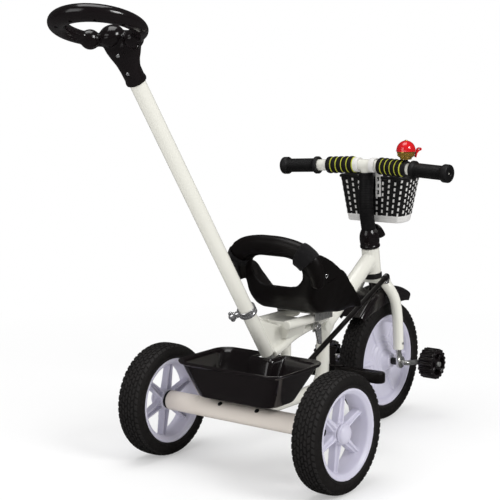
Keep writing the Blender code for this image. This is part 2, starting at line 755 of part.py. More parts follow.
def leg_tongue(side, grow):
    """The part of an axle bracket that sits in the leg's end."""
    middle = Vector((side * LEG_SPREAD, FRONT_AXLE.y + CRANK_ROD, LEG_END_HEIGHT))
    reach = Vector((BRACKET_WALL / 2 + grow, BRACKET_WIDTH / 2 + grow, BRACKET_INSERT + grow))
    return box(middle - reach, middle + reach)


def fork():
    """Crown, steerer and two curved legs."""
    at = on_head(CROWN_HEIGHT)
    plate = turned_to(STEER_AXIS, at)
    outline = rounded(LEG_TOP_SPREAD + LEG_RADIUS, CROWN_WIDTH / 2, CROWN_WIDTH / 2 - MM)
    made = piece("fork", prism(outline, -CROWN_WALL / 2, CROWN_WALL / 2, plate), WHITE, at)
    top = (STEERER_TOP - CROWN_HEIGHT) / STEER_AXIS.z
    legs = []
    for word, side in SIDES:
        splay = LEG_SPREAD - LEG_TOP_SPREAD
        drop = CROWN_HEIGHT - LEG_END_HEIGHT
        route = [
            at + Vector((side * LEG_TOP_SPREAD, 0, -CROWN_WALL / 4)),
            at + Vector((side * (LEG_TOP_SPREAD + splay * 0.15), 0, -drop * 0.05)),
            at + Vector((side * (LEG_TOP_SPREAD + splay * 0.62), -LEG_RADIUS / 2, -drop * 0.16)),
            at + Vector((side * (LEG_TOP_SPREAD + splay * 0.9), -LEG_RADIUS, -drop * 0.3)),
            at + Vector((side * LEG_SPREAD, -LEG_RADIUS * 1.5, -drop * 0.55)),
            Vector((side * LEG_SPREAD, FRONT_AXLE.y + CRANK_ROD, LEG_END_HEIGHT)),
        ]
        legs.append(tube(smooth_line(route, 2), LEG_RADIUS, TURNS["small"], side=Vector((0, 1, 0))))
    join(made, rod(plate, STEERER_RADIUS, 0, top), *legs)
    cut(made, leg_tongue(1, CLEAR), leg_tongue(-1, CLEAR))


def axle_bracket(word, side):
    """The flat plate that carries the front axle under one leg."""
    hub = Vector((side * LEG_SPREAD, FRONT_AXLE.y, FRONT_AXLE.z))
    outline = capsule((0, 0), (CRANK_ROD, LEG_END_HEIGHT - hub.z - BRACKET_WIDTH / 2), BRACKET_FOOT, BRACKET_WIDTH / 2)
    mesh = prism(outline, -BRACKET_WALL / 2 + MM / 4, BRACKET_WALL / 2 - MM / 4, side_plane(hub))
    bracket = piece(f"axle_bracket_{word}", mesh, ZINC, hub)
    join(bracket, leg_tongue(side, 0))
    cut(bracket, rod(turned_to(X_AXIS, hub), CRANK_ROD + CLEAR, -BRACKET_WIDTH, BRACKET_WIDTH, TURNS["small"]))


def head_fittings():
    """Headset ring, stem boot and the hooked shell in front of it."""
    along = turned_to(STEER_AXIS, FRONT_AXLE)
    crown_top = (CROWN_HEIGHT - FRONT_RADIUS) / STEER_AXIS.z + CROWN_WALL / 2 + CLEAR
    head_bottom = (HEAD_BOTTOM - FRONT_RADIUS) / STEER_AXIS.z - CLEAR
    bore = STEERER_RADIUS + CLEAR
    mesh = ring(along, HEAD_RADIUS + MM, bore, crown_top, head_bottom)
    piece("headset_ring", mesh, RUBBER, on_head(HEAD_BOTTOM))
    bottom = (HEAD_TOP + BOOT_GAP - FRONT_RADIUS) / STEER_AXIS.z
    height = (BOOT_TOP - FRONT_RADIUS) / STEER_AXIS.z - bottom
    shape = ((1, 0), (1, 0.12), (0.96, 0.2), (0.99, 0.5), (0.93, 0.72), (0.8, 0.92), (0.74, 1))
    profile = [(BOOT_RADIUS * part, bottom + share * height) for part, share in shape]
    profile += [(bore, bottom + height), (bore, bottom)]
    piece("stem_boot", lathe(profile, along, TURNS["round"]), GLOSS_BLACK, on_head(HEAD_TOP + BOOT_GAP))
    hood(on_head(BOOT_TOP - BOOT_RADIUS / 2))


def hood(root):
    """A short elbow that curls down in front of the boot."""
    length, fall = BOOT_RADIUS, 0.95 * BOOT_RADIUS
    small, wide = 0.4 * BOOT_RADIUS, 0.6 * BOOT_RADIUS
    rings = []
    for part in range(6):
        share = part / 5
        centre = root + Vector((0, -0.98 * BOOT_RADIUS - length * share, 0.55 * BOOT_RADIUS - fall * share**1.8))
        slope = Vector((0, -1, -0.2 - 2.2 * share)).normalized()
        rise = slope.cross(X_AXIS)
        half = small + (wide - small) * share
        rings.append([centre + X_AXIS * (half * cos(a)) + rise * (half * sin(a)) for a in circle_angles()])
    piece("stem_hood", loft(rings), GLOSS_BLACK, root)


def fender():
    """The mudguard over the front tyre, hung from the crown by a round stay."""
    inner, corner = FENDER_RADIUS - FENDER_WALL, FENDER_CORNER
    rings = []
    count = 16
    for step in range(count + 1):
        angle = radians(-FENDER_AHEAD + (FENDER_AHEAD + FENDER_BEHIND) * step / count)
        fall = min(1.0, (count - step) / 5 + 0.05, (step + 2) / 5)
        hem = inner - corner - (FENDER_SKIRT - FENDER_WALL - corner) * fall
        right = [
            (FENDER_HALF - FENDER_WALL, hem),
            (FENDER_HALF - FENDER_WALL, inner - corner),
            (FENDER_HALF - corner, inner),
        ]
        over = [(FENDER_HALF - corner, FENDER_RADIUS), (FENDER_HALF, FENDER_RADIUS - corner), (FENDER_HALF, hem)]
        section = right + [(-x, radius) for x, radius in right[::-1]] + [(-x, radius) for x, radius in over[::-1]] + over
        rings.append([FRONT_AXLE + Vector((x, radius * sin(angle), radius * cos(angle))) for x, radius in section])
    made = piece("front_fender", loft(rings), GLOSS_BLACK, FRONT_AXLE)
    at = on_head(CROWN_HEIGHT)
    foot = FENDER_RADIUS - FENDER_WALL / 2 - (at - FRONT_AXLE).length
    join(made, rod(turned_to(STEER_AXIS, at), FENDER_STAY, foot, -CROWN_WALL / 2 - CLEAR, TURNS["small"]))


def bar_point(x):
    """The handlebar's axis: level in the middle, then dropping and swept back to its ends."""
    share = max(0.0, (abs(x) - BAR_BEND) / (BAR_HALF - BAR_BEND))
    middle = on_head(BAR_HEIGHT) - Vector((0, BAR_FORWARD, 0))
    return middle + Vector((x, BAR_SWEEP * share, -BAR_DROP * share))


def on_bar(profile, side, start, length, steps=TURNS["round"]):
    """A turned piece on the outer half of the handlebar, from one distance from the middle outwards."""
    first, last = bar_point(side * start), bar_point(side * (start + length))
    return lathe([(radius, share * length) for radius, share in profile], turned_to(last - first, first), steps)


def stem_route():
    """The post from the steerer up to the bar, bowed towards the rider."""
    foot, top = on_head(STEERER_TOP) + STEER_AXIS * CLEAR, bar_point(0)
    points = []
    for step in range(9):
        share = step / 8
        bow = SLEEVE_BOW * sin(pi * min(1, share * 1.1)) ** 2
        points.append(foot.lerp(top, share) + Vector((0, bow, 0)))
    return points


def handlebar():
    """Bar and post, the ribbed sleeve over the post, and a foam and a grip on each half."""
    route, middle = stem_route(), bar_point(0)
    ends = [-BAR_HALF, -BAR_BEND, BAR_BEND, BAR_HALF]
    bar = tube([bar_point(x) for x in ends], BAR_RADIUS, TURNS["round"], side=UP)
    made = piece("handlebar", bar, WHITE, on_head(STEERER_TOP))
    join(made, tube(route, POST_RADIUS, TURNS["round"]))
    sleeve_from = on_head(BOOT_TOP) + STEER_AXIS * CLEAR
    sleeve_to = middle - STEER_AXIS * (BAR_RADIUS + CLEAR)
    inside = [point for point in route if BOOT_TOP + SLEEVE_RADIUS < point.z < sleeve_to.z - POST_RADIUS / 2]
    square = sleeve_from + STEER_AXIS * SLEEVE_RADIUS / 4
    sleeve = tube([sleeve_from, square] + inside + [sleeve_to], SLEEVE_RADIUS, TURNS["round"])
    sleeve = piece("stem_sleeve", sleeve, RUBBER, sleeve_from)
    past = [route[0] - STEER_AXIS * POST_RADIUS] + route[:-1] + [middle + STEER_AXIS * POST_RADIUS]
    cut(sleeve, tube(past, POST_RADIUS + CLEAR, TURNS["round"]))
    cut(sleeve, rod(turned_to(X_AXIS, middle), BAR_RADIUS + CLEAR, -2 * SLEEVE_RADIUS, 2 * SLEEVE_RADIUS))
    inner = BAR_RADIUS + CLEAR
    for word, side in SIDES:
        edge = FOAM_RADIUS - 2 * MM
        foam = [(edge, 0), (FOAM_RADIUS, 0.04), (FOAM_RADIUS, 0.96), (edge, 1), (inner, 1), (inner, 0)]
        mesh = on_bar(foam, side, FOAM_START[word] + CLEAR, FOAM_LENGTH[word])
        piece(f"bar_foam_{word}", mesh, FOAM, bar_point(side * FOAM_START[word]))
        length = BAR_HALF - GRIP_START + GRIP_END
        floor = (BAR_HALF - GRIP_START + CLEAR) / length
        grip = [
            (GRIP_FLANGE, 0),
            (GRIP_FLANGE, 0.1),
            (GRIP_RADIUS, 0.13),
            (GRIP_RADIUS, 0.82),
            (GRIP_FLANGE, 0.86),
            (GRIP_FLANGE, 0.97),
            (GRIP_FLANGE - GRIP_END, 1),
            (0, 1),
        ]
        profile = grip[::-1] + [(inner, 0), (inner, floor), (0, floor)]
        mesh = on_bar(profile, side, GRIP_START, length)
        piece(f"grip_{word}", mesh, RUBBER, bar_point(side * GRIP_START))


def bell():
    """Clamp on the bar, base cup, dome and thumb lever."""
    at = bar_point(BELL_X)
    along = bar_point(BELL_X - BELL_CLAMP_WIDTH) - at
    facing = turned_to(along, at)
    half = BELL_CLAMP_WIDTH / 2
    clamp = piece("bell_clamp", rod(facing, BELL_CLAMP_RADIUS, -half, half), RUBBER, at)
    join(clamp, rod(turned_to(UP, at), half - MM / 2, 0, BELL_LIFT - CLEAR, TURNS["small"]))
    cut(clamp, rod(facing, BAR_RADIUS + CLEAR, -2 * half, 2 * half))
    base_at = at + UP * BELL_LIFT
    standing = turned_to(UP, base_at)
    radius, height = BELL_BASE_RADIUS, BELL_BASE_HEIGHT
    base = [(0, 0), (radius * 0.7, 0), (radius, height * 0.4), (radius, height), (0, height)]
    piece("bell_base", lathe(base, standing, TURNS["round"]), GOLD, base_at)
    low = height + CLEAR
    dome_height = BELL_DOME_HEIGHT
    outer, inner = [], []
    for step in range(6):
        angle = pi / 2 * step / 5
        share = (cos(angle), sin(angle))
        outer.append((BELL_DOME_RADIUS * share[0], low + dome_height * share[1]))
        inner.append(((BELL_DOME_RADIUS - BELL_WALL) * share[0], low + (dome_height - BELL_WALL) * share[1]))
    profile = [(max(out, 0) if out > MM / 10 else 0, up) for out, up in outer[::-1] + inner]
    piece("bell_dome", lathe(profile, standing, TURNS["round"]), RED, base_at + UP * low)
    out = Vector((cos(BELL_LEVER_ANGLE), sin(BELL_LEVER_ANGLE), 0))
    root, tip = radius + CLEAR, BELL_DOME_RADIUS + height
    outline = [
        (root, height * 0.2),
        (root + height / 2, height * 0.2),
        (tip, height * 1.6),
        (tip, height * 2.4),
        (tip - BELL_WALL, height * 2.4),
        (tip - BELL_WALL, height * 1.7),
        (root + height / 3, height * 0.9),
        (root, height * 0.9),
    ]
    half = BELL_LEVER_WIDTH / 2
    mesh = prism(outline, -half, half, from_axes(out, UP, out.cross(UP), base_at))
    lever = piece("bell_lever", mesh, GLOSS_BLACK, base_at)
    cut(lever, rod(standing, root, -height, 2 * height))


def d_outline(half, depth, back):
    """The basket seen from above: a straight back and a rounded front."""
    points = []
    for step in range(15):
        angle = pi * step / 14
        across = abs(cos(angle)) ** 0.75 * (1 if cos(angle) > 0 else -1)
        points.append((half * across, back - depth * sin(angle) ** 0.85))
    return points


def basket():
    """The open basket in front of the bar, with two hooks over it."""
    rise = BASKET_TOP - BASKET_BOTTOM

    def level(share, shrink, lift=0.0):
        half = BASKET_BOTTOM_HALF + (BASKET_HALF - BASKET_BOTTOM_HALF) * share - shrink
        depth = BASKET_BOTTOM_DEPTH + (BASKET_DEPTH - BASKET_BOTTOM_DEPTH) * share - 2 * shrink
        back = BASKET_BACK - BASKET_LEAN * (1 - share) - shrink
        height = BASKET_BOTTOM + rise * share + lift
        return [Vector((x, y, height)) for x, y in d_outline(half, depth, back)]

    rings = [
        level(0, 0),
        level(0.9, 0),
        level(0.92, -BASKET_RIM / 2),
        level(1, -BASKET_RIM / 2),
        level(1, BASKET_WALL),
        level(0, BASKET_WALL, BASKET_WALL),
    ]
    for points in rings:
        for point in points:
            point.y = min(point.y, BASKET_BACK)
    piece("basket", loft(rings), BASKET, Vector((0, BASKET_BACK, BASKET_BOTTOM)))
    middle = bar_point(0)
    inner, outer = BAR_RADIUS + CLEAR, BAR_RADIUS + CLEAR + HOOK_WALL
    behind = BASKET_BACK + CLEAR
    outline = [(behind, HOOK_BOTTOM), (behind, middle.z)]
    for radius, steps in ((outer, range(8, -3, -1)), (inner, range(-2, 9))):
        for step in steps:
            angle = pi * step / 8
            outline.append((middle.y + radius * cos(angle), middle.z + radius * sin(angle)))
    outline += [(behind + HOOK_WALL, BASKET_TOP + HOOK_WALL), (behind + HOOK_WALL, HOOK_BOTTOM)]
    for word, side in SIDES:
        start = side * HOOK_X - HOOK_WIDTH / 2
        mesh = prism(outline, start, start + HOOK_WIDTH, side_plane())
        piece(f"basket_hook_{word}", mesh, RIM_WHITE, Vector((side * HOOK_X, middle.y, middle.z)))


def frame_tubes(grow):
    """The down tube, and the upright that bends back to the rear axle."""
    low = REAR_AXLE.z
    reach = 3 * TUBE_SMALL
    upright = [
        ELBOW,
        Vector((0, UPRIGHT_Y, ELBOW.z - reach)),
        Vector((0, UPRIGHT_Y + MM, low + reach)),
        Vector((0, UPRIGHT_Y + reach * 0.3, low + reach * 0.3)),
        Vector((0, UPRIGHT_Y + reach, low)),
        Vector((0, -AXLE_TUBE / 2, low)),
    ]
    elbow = turned_to(X_AXIS, ELBOW)
    half = TUBE_SMALL + grow
    return [
        tube(smooth_line(upright, 3), TUBE_SMALL + grow, TURNS["round"]),
        tube([DOWN_TUBE_TOP, ELBOW], TUBE_BIG + grow, TURNS["round"]),
        rod(elbow, TUBE_BIG - MM + grow, -half, half),
    ]


def main_frame():
    """Head tube, down tube and the tube down to the rear axle."""
    along = turned_to(STEER_AXIS, FRONT_AXLE)
    low = (HEAD_BOTTOM - FRONT_RADIUS) / STEER_AXIS.z
    high = (HEAD_TOP - FRONT_RADIUS) / STEER_AXIS.z
    made = piece("main_frame", rod(along, HEAD_RADIUS, low, high), WHITE, on_head(HEAD_BOTTOM))
    join(made, *frame_tubes(0))
    cut(made, rod(along, STEERER_RADIUS + CLEAR, low - HEAD_RADIUS, high + HEAD_RADIUS))
    cut(made, rod(turned_to(X_AXIS, REAR_AXLE), AXLE_TUBE + CLEAR, -2 * AXLE_TUBE, 2 * AXLE_TUBE, TURNS["ring"]))


def rear_frame():
    """Spine, strut, seat rails and the sloping bearing of the push bar's shaft."""
    foot = PUSH_FOOT
    spine = [
        foot + Vector((0, -SPINE_HEIGHT / 4, 0)),
        Vector((0, (foot.y + SPINE_BEND_Y) / 2 - MM * 5, foot.z + MM * 7)),
        Vector((0, SPINE_BEND_Y, foot.z + MM * 17)),
        Vector((0, SADDLE_FRONT, foot.z + MM * 25)),
        Vector((0, RAIL_FRONT, foot.z + MM * 33)),
        Vector((0, ELBOW.y + TUBE_BIG / 2, ELBOW.z + TUBE_BIG)),
    ]
    mesh = tube(smooth_line(spine, 2), SPINE_HEIGHT / 2, TURNS["small"], flat=SPINE_WIDTH / SPINE_HEIGHT)
    made = piece("rear_frame", mesh, WHITE, foot)
    bearing = turned_to(PUSH_AXIS, foot)
    strut = rod(turned_to(UP, (0, STRUT_Y, 0)), STRUT_RADIUS, REAR_AXLE.z, foot.z + SPINE_HEIGHT / 2, TURNS["small"])
    rails = []
    for word, side in SIDES:
        ends = [Vector((side * RAIL_SPREAD, y, RAIL_HEIGHT)) for y in (RAIL_FRONT, RAIL_BACK)]
        rails.append(tube(ends, RAIL_RADIUS, TURNS["small"]))
    saddle = []
    for half, height in ((SPINE_WIDTH / 2 - MM, foot.z + SPINE_HEIGHT), (RAIL_SPREAD + MM, RAIL_HEIGHT + MM)):
        outline = [(-half, SADDLE_FRONT), (half, SADDLE_FRONT), (half, SADDLE_BACK), (-half, SADDLE_BACK)]
        saddle.append([Vector((x, y, height)) for x, y in outline])
    tip = on_push(BEARING_LENGTH - BEARING_RADIUS)
    outline = [
        (SADDLE_BACK - MM * 8, RAIL_HEIGHT - RAIL_RADIUS),
        (SADDLE_BACK, foot.z + SPINE_HEIGHT / 2),
        (foot.y, foot.z),
        (tip.y, tip.z),
        (tip.y - BEARING_RADIUS * 1.8, tip.z - BEARING_RADIUS / 3),
    ]
    gusset = prism(outline, -GUSSET_WALL / 2, GUSSET_WALL / 2, side_plane())
    join(made, rod(bearing, BEARING_RADIUS, 0, BEARING_LENGTH), strut, *rails, loft(saddle), gusset)
    cut(made, rod(bearing, SHAFT_RADIUS + CLEAR, -BEARING_LENGTH / 2, 2 * BEARING_LENGTH))
    cut(made, *frame_tubes(CLEAR))


def push_bar():
    """Steering shaft with its arm, push tube, clamp, star knob and the hand wheel."""
    facing = turned_to(PUSH_AXIS, PUSH_FOOT)
    arm_at = on_push(ARM_ALONG)
    top = BEARING_LENGTH + SHAFT_ABOVE
    shaft = piece("steering_shaft", rod(facing, SHAFT_RADIUS, -SHAFT_BELOW, top), ZINC, PUSH_FOOT)
    arm = from_axes(-X_AXIS, PUSH_AXIS.cross(-X_AXIS), PUSH_AXIS, arm_at)
    outline = capsule((0, 0), (ARM_REACH, 0), SHAFT_RADIUS + MM, 2 * PIN_RADIUS)
    level = -EYE_LIFT - ROD_EYE_WALL / 2
    pin = turned_to(PUSH_AXIS, arm_at - X_AXIS * ARM_REACH)
    join(
        shaft,
        prism(outline, level - ARM_WALL, level, arm),
        rod(pin, PIN_RADIUS, level - ARM_WALL / 2, PIN_LENGTH, TURNS["small"]),
    )
    start = BEARING_LENGTH + CLEAR
    bore = SHAFT_RADIUS + CLEAR
    piece("push_tube", ring(facing, PUSH_RADIUS, bore, start, PUSH_TOP), WHITE, on_push(start))
    low = start + CLAMP_START
    clamp_at = on_push(low + CLAMP_LENGTH / 2)
    outer = PUSH_RADIUS + CLEAR + CLAMP_WALL
    mesh = rod(facing, outer, low, low + CLAMP_LENGTH)
    clamp = piece("push_clamp", mesh, CHROME, clamp_at)
    side = CLAMP_SIDE.normalized()
    out = turned_to(side, clamp_at)
    ear_end = outer + CLAMP_EAR
    join(clamp, rod(out, CLAMP_LENGTH / 2 - MM, PUSH_RADIUS, ear_end, TURNS["small"]))
    cut(clamp, rod(facing, PUSH_RADIUS + CLEAR, low - CLAMP_LENGTH, low + 2 * CLAMP_LENGTH))
    star = []
    for step in range(KNOB_LOBES * 4):
        angle = 2 * pi * step / (KNOB_LOBES * 4)
        radius = KNOB_RADIUS * (0.86 + 0.14 * cos(KNOB_LOBES * angle))
        star.append((radius * cos(angle), radius * sin(angle)))
    knob_from = ear_end + CLEAR
    piece("clamp_knob", prism(star, knob_from, knob_from + KNOB_LENGTH, out), SATIN_BLACK, clamp_at + side * knob_from)
    push_wheel(facing)


def wheel_point(angle, radius=WHEEL_RING_RADIUS):
    """A point of the hand wheel's circle. Its front is at -90 degrees."""
    level = Vector((0, cos(WHEEL_RING_TILT), sin(WHEEL_RING_TILT)))
    return wheel_turn() @ (WHEEL_RING_CENTRE + X_AXIS * (radius * cos(angle)) + level * (radius * sin(angle)))


def wheel_turn():
    """The hand wheel sits turned a little on its tube."""
    to_foot = Matrix.Translation(PUSH_FOOT)
    return to_foot @ Matrix.Rotation(WHEEL_TURN, 4, PUSH_AXIS) @ to_foot.inverted()


def push_wheel(facing):
    """The oval-section ring with its neck and three round bosses, closed over the tube's end."""
    normal = wheel_turn().to_3x3() @ Vector((0, -sin(WHEEL_RING_TILT), cos(WHEEL_RING_TILT)))
    count = TURNS["ring"]
    points = [wheel_point(2 * pi * step / count) for step in range(count)]
    flat = WHEEL_RING_HIGH / WHEEL_RING_WIDE
    mesh = tube(points, WHEEL_RING_WIDE, TURNS["small"], closed=True, flat=flat, side=normal)
    made = piece("push_wheel", mesh, GLOSS_BLACK, on_push(PUSH_NECK))
    front = wheel_point(-pi / 2)
    level = wheel_turn() @ from_axes(X_AXIS, PUSH_AXIS.cross(X_AXIS), PUSH_AXIS)
    stages = (
        (on_push(PUSH_NECK), COLLAR_GRIP, COLLAR_GRIP),
        (on_push(PUSH_NECK) + PUSH_AXIS * COLLAR_GRIP * 1.4, COLLAR_GRIP, COLLAR_GRIP),
        (on_push(PUSH_NECK) + PUSH_AXIS * COLLAR_GRIP * 3, COLLAR_GRIP * 1.4, COLLAR_GRIP),
        (front - PUSH_AXIS * WHEEL_RING_HIGH * 0.6, COLLAR_GRIP * 2.15, COLLAR_GRIP),
        (front + PUSH_AXIS * WHEEL_RING_HIGH * 0.5, COLLAR_GRIP * 2.25, COLLAR_GRIP),
    )
    rings = []
    for centre, half, deep in stages:
        rings.append([centre + level.to_3x3() @ Vector((half * cos(a), deep * sin(a), 0)) for a in circle_angles()])
    bosses = []
    drop = 0.8 * WHEEL_RING_HIGH
    for word, side in SIDES:
        at = wheel_point(-pi / 2 + side * BOSS_SPREAD / WHEEL_RING_RADIUS * 1.1)
        bosses.append(rod(turned_to(normal, at), BOSS_RADIUS, -drop, WHEEL_RING_HIGH * 0.8, TURNS["small"]))
    middle = wheel_point(-pi / 2, WHEEL_RING_RADIUS - 1.6 * BOSS_RADIUS)
    bosses.append(rod(turned_to(normal, middle), 1.2 * BOSS_RADIUS, -WHEEL_RING_HIGH * 0.8, WHEEL_RING_HIGH * 0.8))
    join(made, loft(rings), *bosses)
    cut(made, rod(facing, PUSH_RADIUS + CLEAR, PUSH_NECK - COLLAR_GRIP, PUSH_TOP + CLEAR))


def circle_angles(count=TURNS["small"]):
    return [2 * pi * (step + 0.5) / count for step in range(count)]


def rod_rear():
    """Where the steering rod's slot sits over the arm's pin."""
    return on_push(ARM_ALONG) - X_AXIS * ARM_REACH


def linkage():
    """The link plate on the crown, the long rod and the cap over its front joint."""
    rear = rod_rear()
    along = (rear - ROD_FRONT).normalized()
    across = PUSH_AXIS.cross(along).normalized()
    eye = from_axes(along - PUSH_AXIS * along.dot(PUSH_AXIS), across, PUSH_AXIS, rear)
    start = ROD_FRONT
    neck = rear - along * (ROD_EYE_HALF + SLOT_HALF * 0.4)
    made = piece("steering_rod", tube([start, neck], ROD_RADIUS, TURNS["small"]), SATIN_BLACK, ROD_FRONT)
    half = ROD_EYE_HALF - SLOT_RADIUS
    outline = capsule((-half - SLOT_HALF, 0), (half, 0), SLOT_RADIUS + PIN_RADIUS, SLOT_RADIUS + PIN_RADIUS)
    slot = capsule((SLOT_RADIUS - SLOT_HALF, 0), (SLOT_HALF - SLOT_RADIUS, 0), SLOT_RADIUS, SLOT_RADIUS)
    join(made, prism(outline, -ROD_EYE_WALL / 2, ROD_EYE_WALL / 2, eye))
    cut(made, prism(slot, -PIN_LENGTH, PIN_LENGTH, eye))
    pin = turned_to(STEER_AXIS, ROD_FRONT)
    cut(made, rod(pin, PIN_RADIUS + CLEAR, -2 * ROD_CAP_RADIUS, 2 * ROD_CAP_RADIUS, TURNS["small"]))
    crown = on_head(CROWN_HEIGHT)
    plate = turned_to(STEER_AXIS, crown)
    near = plate.inverted() @ (crown + Vector((-LEG_TOP_SPREAD - 2 * MM, 0, 0)))
    far = plate.inverted() @ ROD_FRONT
    low = CROWN_WALL / 2 + CLEAR
    outline = capsule(near.to_2d(), far.to_2d(), LEG_RADIUS - 2 * MM, 2 * PIN_RADIUS)
    link = piece("rod_link", prism(outline, low, low + LINK_WALL, plate), CHROME, ROD_FRONT)
    join(link, rod(pin, PIN_RADIUS, low + LINK_WALL / 2 - far.z, ROD_CAP_RADIUS, TURNS["small"]))
    cap = piece("rod_cap", rod_cap_mesh(), RUBBER, ROD_FRONT)
    cut(cap, rod(pin, PIN_RADIUS + CLEAR, -2 * ROD_CAP_RADIUS, ROD_CAP_RADIUS + CLEAR, TURNS["small"]))
    cut(cap, tube([start - along * CLEAR, neck], ROD_RADIUS + CLEAR, TURNS["small"]))


def rod_cap_mesh():
    """A rounded cap that wraps the rod's front end and its pin."""
    along = (rod_rear() - ROD_FRONT).normalized()
    radius = ROD_CAP_RADIUS
    profile = [(0, -1.5), (0.6, -1.35), (0.95, -0.9), (1, -0.4), (1, 0.7), (0.8, 0.9)]
    points = [(out * radius, at * radius) for out, at in profile]
    return lathe(points + [(0, 0.9 * radius)], turned_to(along, ROD_FRONT), TURNS["round"])


def seat_stations():
    """Sections of the seat from its front edge to the top of its back: (floor half, edge half, y, z)."""
    level, half = SEAT_HEIGHT, SEAT_HALF
    foot, top = BACK_FOOT, on_back(0, HOOP_TOP)
    floor = (
        (0.56, 0.94, 0, 0.02),
        (0.62, 1, 0.09, 0),
        (0.66, 1, 0.27, 0),
        (0.66, 1, 0.575, 0),
        (0.66, 1, 0.754, 0.053),
        (0.66, 1, 0.877, 0.263),
        (0.70, 1, 0.97, 0.614),
    )
    back = ((0.76, 1, 0.015, 0.125), (0.82, 0.95, 0.55, 0.57), (0.80, 0.84, 1, 1))
    marks = []
    for floor_half, edge_half, run, rise in floor:
        y, z = SEAT_FRONT + (foot.y - SEAT_FRONT) * run, level + (foot.z - level) * rise
        marks.append(Vector((floor_half * half, edge_half * half, y, z)))
    for floor_half, edge_half, run, rise in back:
        y, z = foot.y + (top.y - foot.y) * run, foot.z + (top.z - foot.z) * rise
        marks.append(Vector((floor_half * half, edge_half * half, y, z)))
    return smooth_line(marks, 2)


def seat_sheet():
    """The seat's middle surface: a floor and back with side walls up to a straight edge."""
    stations = seat_stations()
    edge = (SEAT_EDGE_BACK - SEAT_EDGE_FRONT).normalized()
    edge_up = Vector((-edge.y, edge.x))
    mesh = bmesh.new()
    rows = []
    for index, (floor_half, edge_half, y, z) in enumerate(stations):
        before, after = stations[max(index - 1, 0)], stations[min(index + 1, len(stations) - 1)]
        run = Vector((after[2] - before[2], after[3] - before[3])).normalized()
        inward = Vector((-run.y, run.x))
        here = Vector((y, z))
        depth = -(here - SEAT_EDGE_FRONT).dot(edge_up) / max(0.3, inward.dot(edge_up))
        reach = (here + inward * depth - SEAT_EDGE_FRONT).dot(edge) / (SEAT_EDGE_BACK - SEAT_EDGE_FRONT).length
        depth = max(0.0, depth + SEAT_EDGE_BULGE * max(0.0, 4 * reach * (1 - reach)))
        half = [(0, 0), (0.5 * floor_half, 0), (0.88 * floor_half, 0.0)]
        for share in (0.08, 0.3, 0.62, 1.0):
            half.append((floor_half + (edge_half - floor_half) * share, depth * share**1.25))
        across = [(-x, rise) for x, rise in half[:0:-1]] + half
        rows.append([mesh.verts.new((x, y + inward.x * rise, z + inward.y * rise)) for x, rise in across])
    for first, second in zip(rows, rows[1:]):
        for step in range(len(first) - 1):
            mesh.faces.new((first[step], first[step + 1], second[step + 1], second[step]))
    return outward(mesh)


def hoop_line():
    """The tube round the seat back, from its right foot over the top to its left foot."""
    half = HOOP_HALF
    right = [(-half, -2 * MM), (-1.02 * half, 0.28 * HOOP_TOP), (-0.94 * half, 0.62 * HOOP_TOP), (-0.7 * half, 0.87 * HOOP_TOP)]
    middle = [(-0.32 * half, 0.985 * HOOP_TOP), (0, HOOP_TOP)]
    half_line = right + middle
    places = half_line + [(-x, rise) for x, rise in half_line[-2::-1]]
    return smooth_line([on_back(x, rise) for x, rise in places], 3)


def hoop_radius(share):
    """Full in the middle and slimmer at the feet."""
    return HOOP_WIDE * (0.62 + 0.38 * min(1.0, 5 * share, 5 * (1 - share)))


def around_hoop(first, last, grow):
    """A sleeve-shaped solid round part of the hoop, between two of its points."""
    radius = HOOP_WIDE + grow
    points = hoop_line()[first : last + 1]
    return tube(points, radius, TURNS["small"], flat=(HOOP_THICK + grow) / radius, side=BACK_FORWARD)


def seat():
    """Bucket shell with its open back, the strap pad and the buckle, and the clamp that slides on the rails."""
    back = from_axes(X_AXIS, BACK_UP, BACK_FORWARD, BACK_FOOT)
    shell = piece("seat_shell", seat_sheet(), SATIN_BLACK, (0, BRACKET_FRONT, SEAT_HEIGHT), 50)
    wall = shell.modifiers.new("wall", "SOLIDIFY")
    wall.thickness = SEAT_WALL
    wall.offset = 0
    hole = rounded(HOOP_HALF - OPENING_SIDE, OPENING_HIGH, OPENING_HIGH - MM, 4, (0, OPENING_LIFT))
    pad_span, strap_span = (6, 9), (23, 25)
    cut(shell, prism(hole, -2 * HOOP_WIDE, 2 * HOOP_WIDE, back))
    cut(shell, around_hoop(*pad_span, PAD_WALL + 2 * CLEAR), around_hoop(*strap_span, STRAP_WALL + 2 * CLEAR))
    hoop = tube(hoop_line(), hoop_radius, TURNS["small"], flat=HOOP_THICK / HOOP_WIDE, side=BACK_FORWARD)
    join(shell, hoop)
    pad_at = hoop_line()[sum(pad_span) // 2]
    pad = piece("harness_pad", around_hoop(*pad_span, PAD_WALL + CLEAR), WEBBING, pad_at)
    cut(pad, around_hoop(pad_span[0] - 1, pad_span[1] + 1, CLEAR))
    strap_at = hoop_line()[sum(strap_span) // 2]
    strap = piece("harness_buckle", around_hoop(*strap_span, STRAP_WALL + CLEAR), WEBBING, strap_at)
    behind = strap_at - BACK_FORWARD * (HOOP_THICK + CLEAR)
    hang = from_axes(X_AXIS, BACK_UP, -BACK_FORWARD, behind)
    reach = 0.6 * HOOP_WIDE
    join(strap, prism(rounded(reach, HOOP_WIDE, reach / 2, 3, (MM * 3, -1.15 * HOOP_WIDE)), 2 * CLEAR, reach, hang))
    cut(strap, around_hoop(strap_span[0] - 1, strap_span[1] + 1, CLEAR))
    seat_bracket()


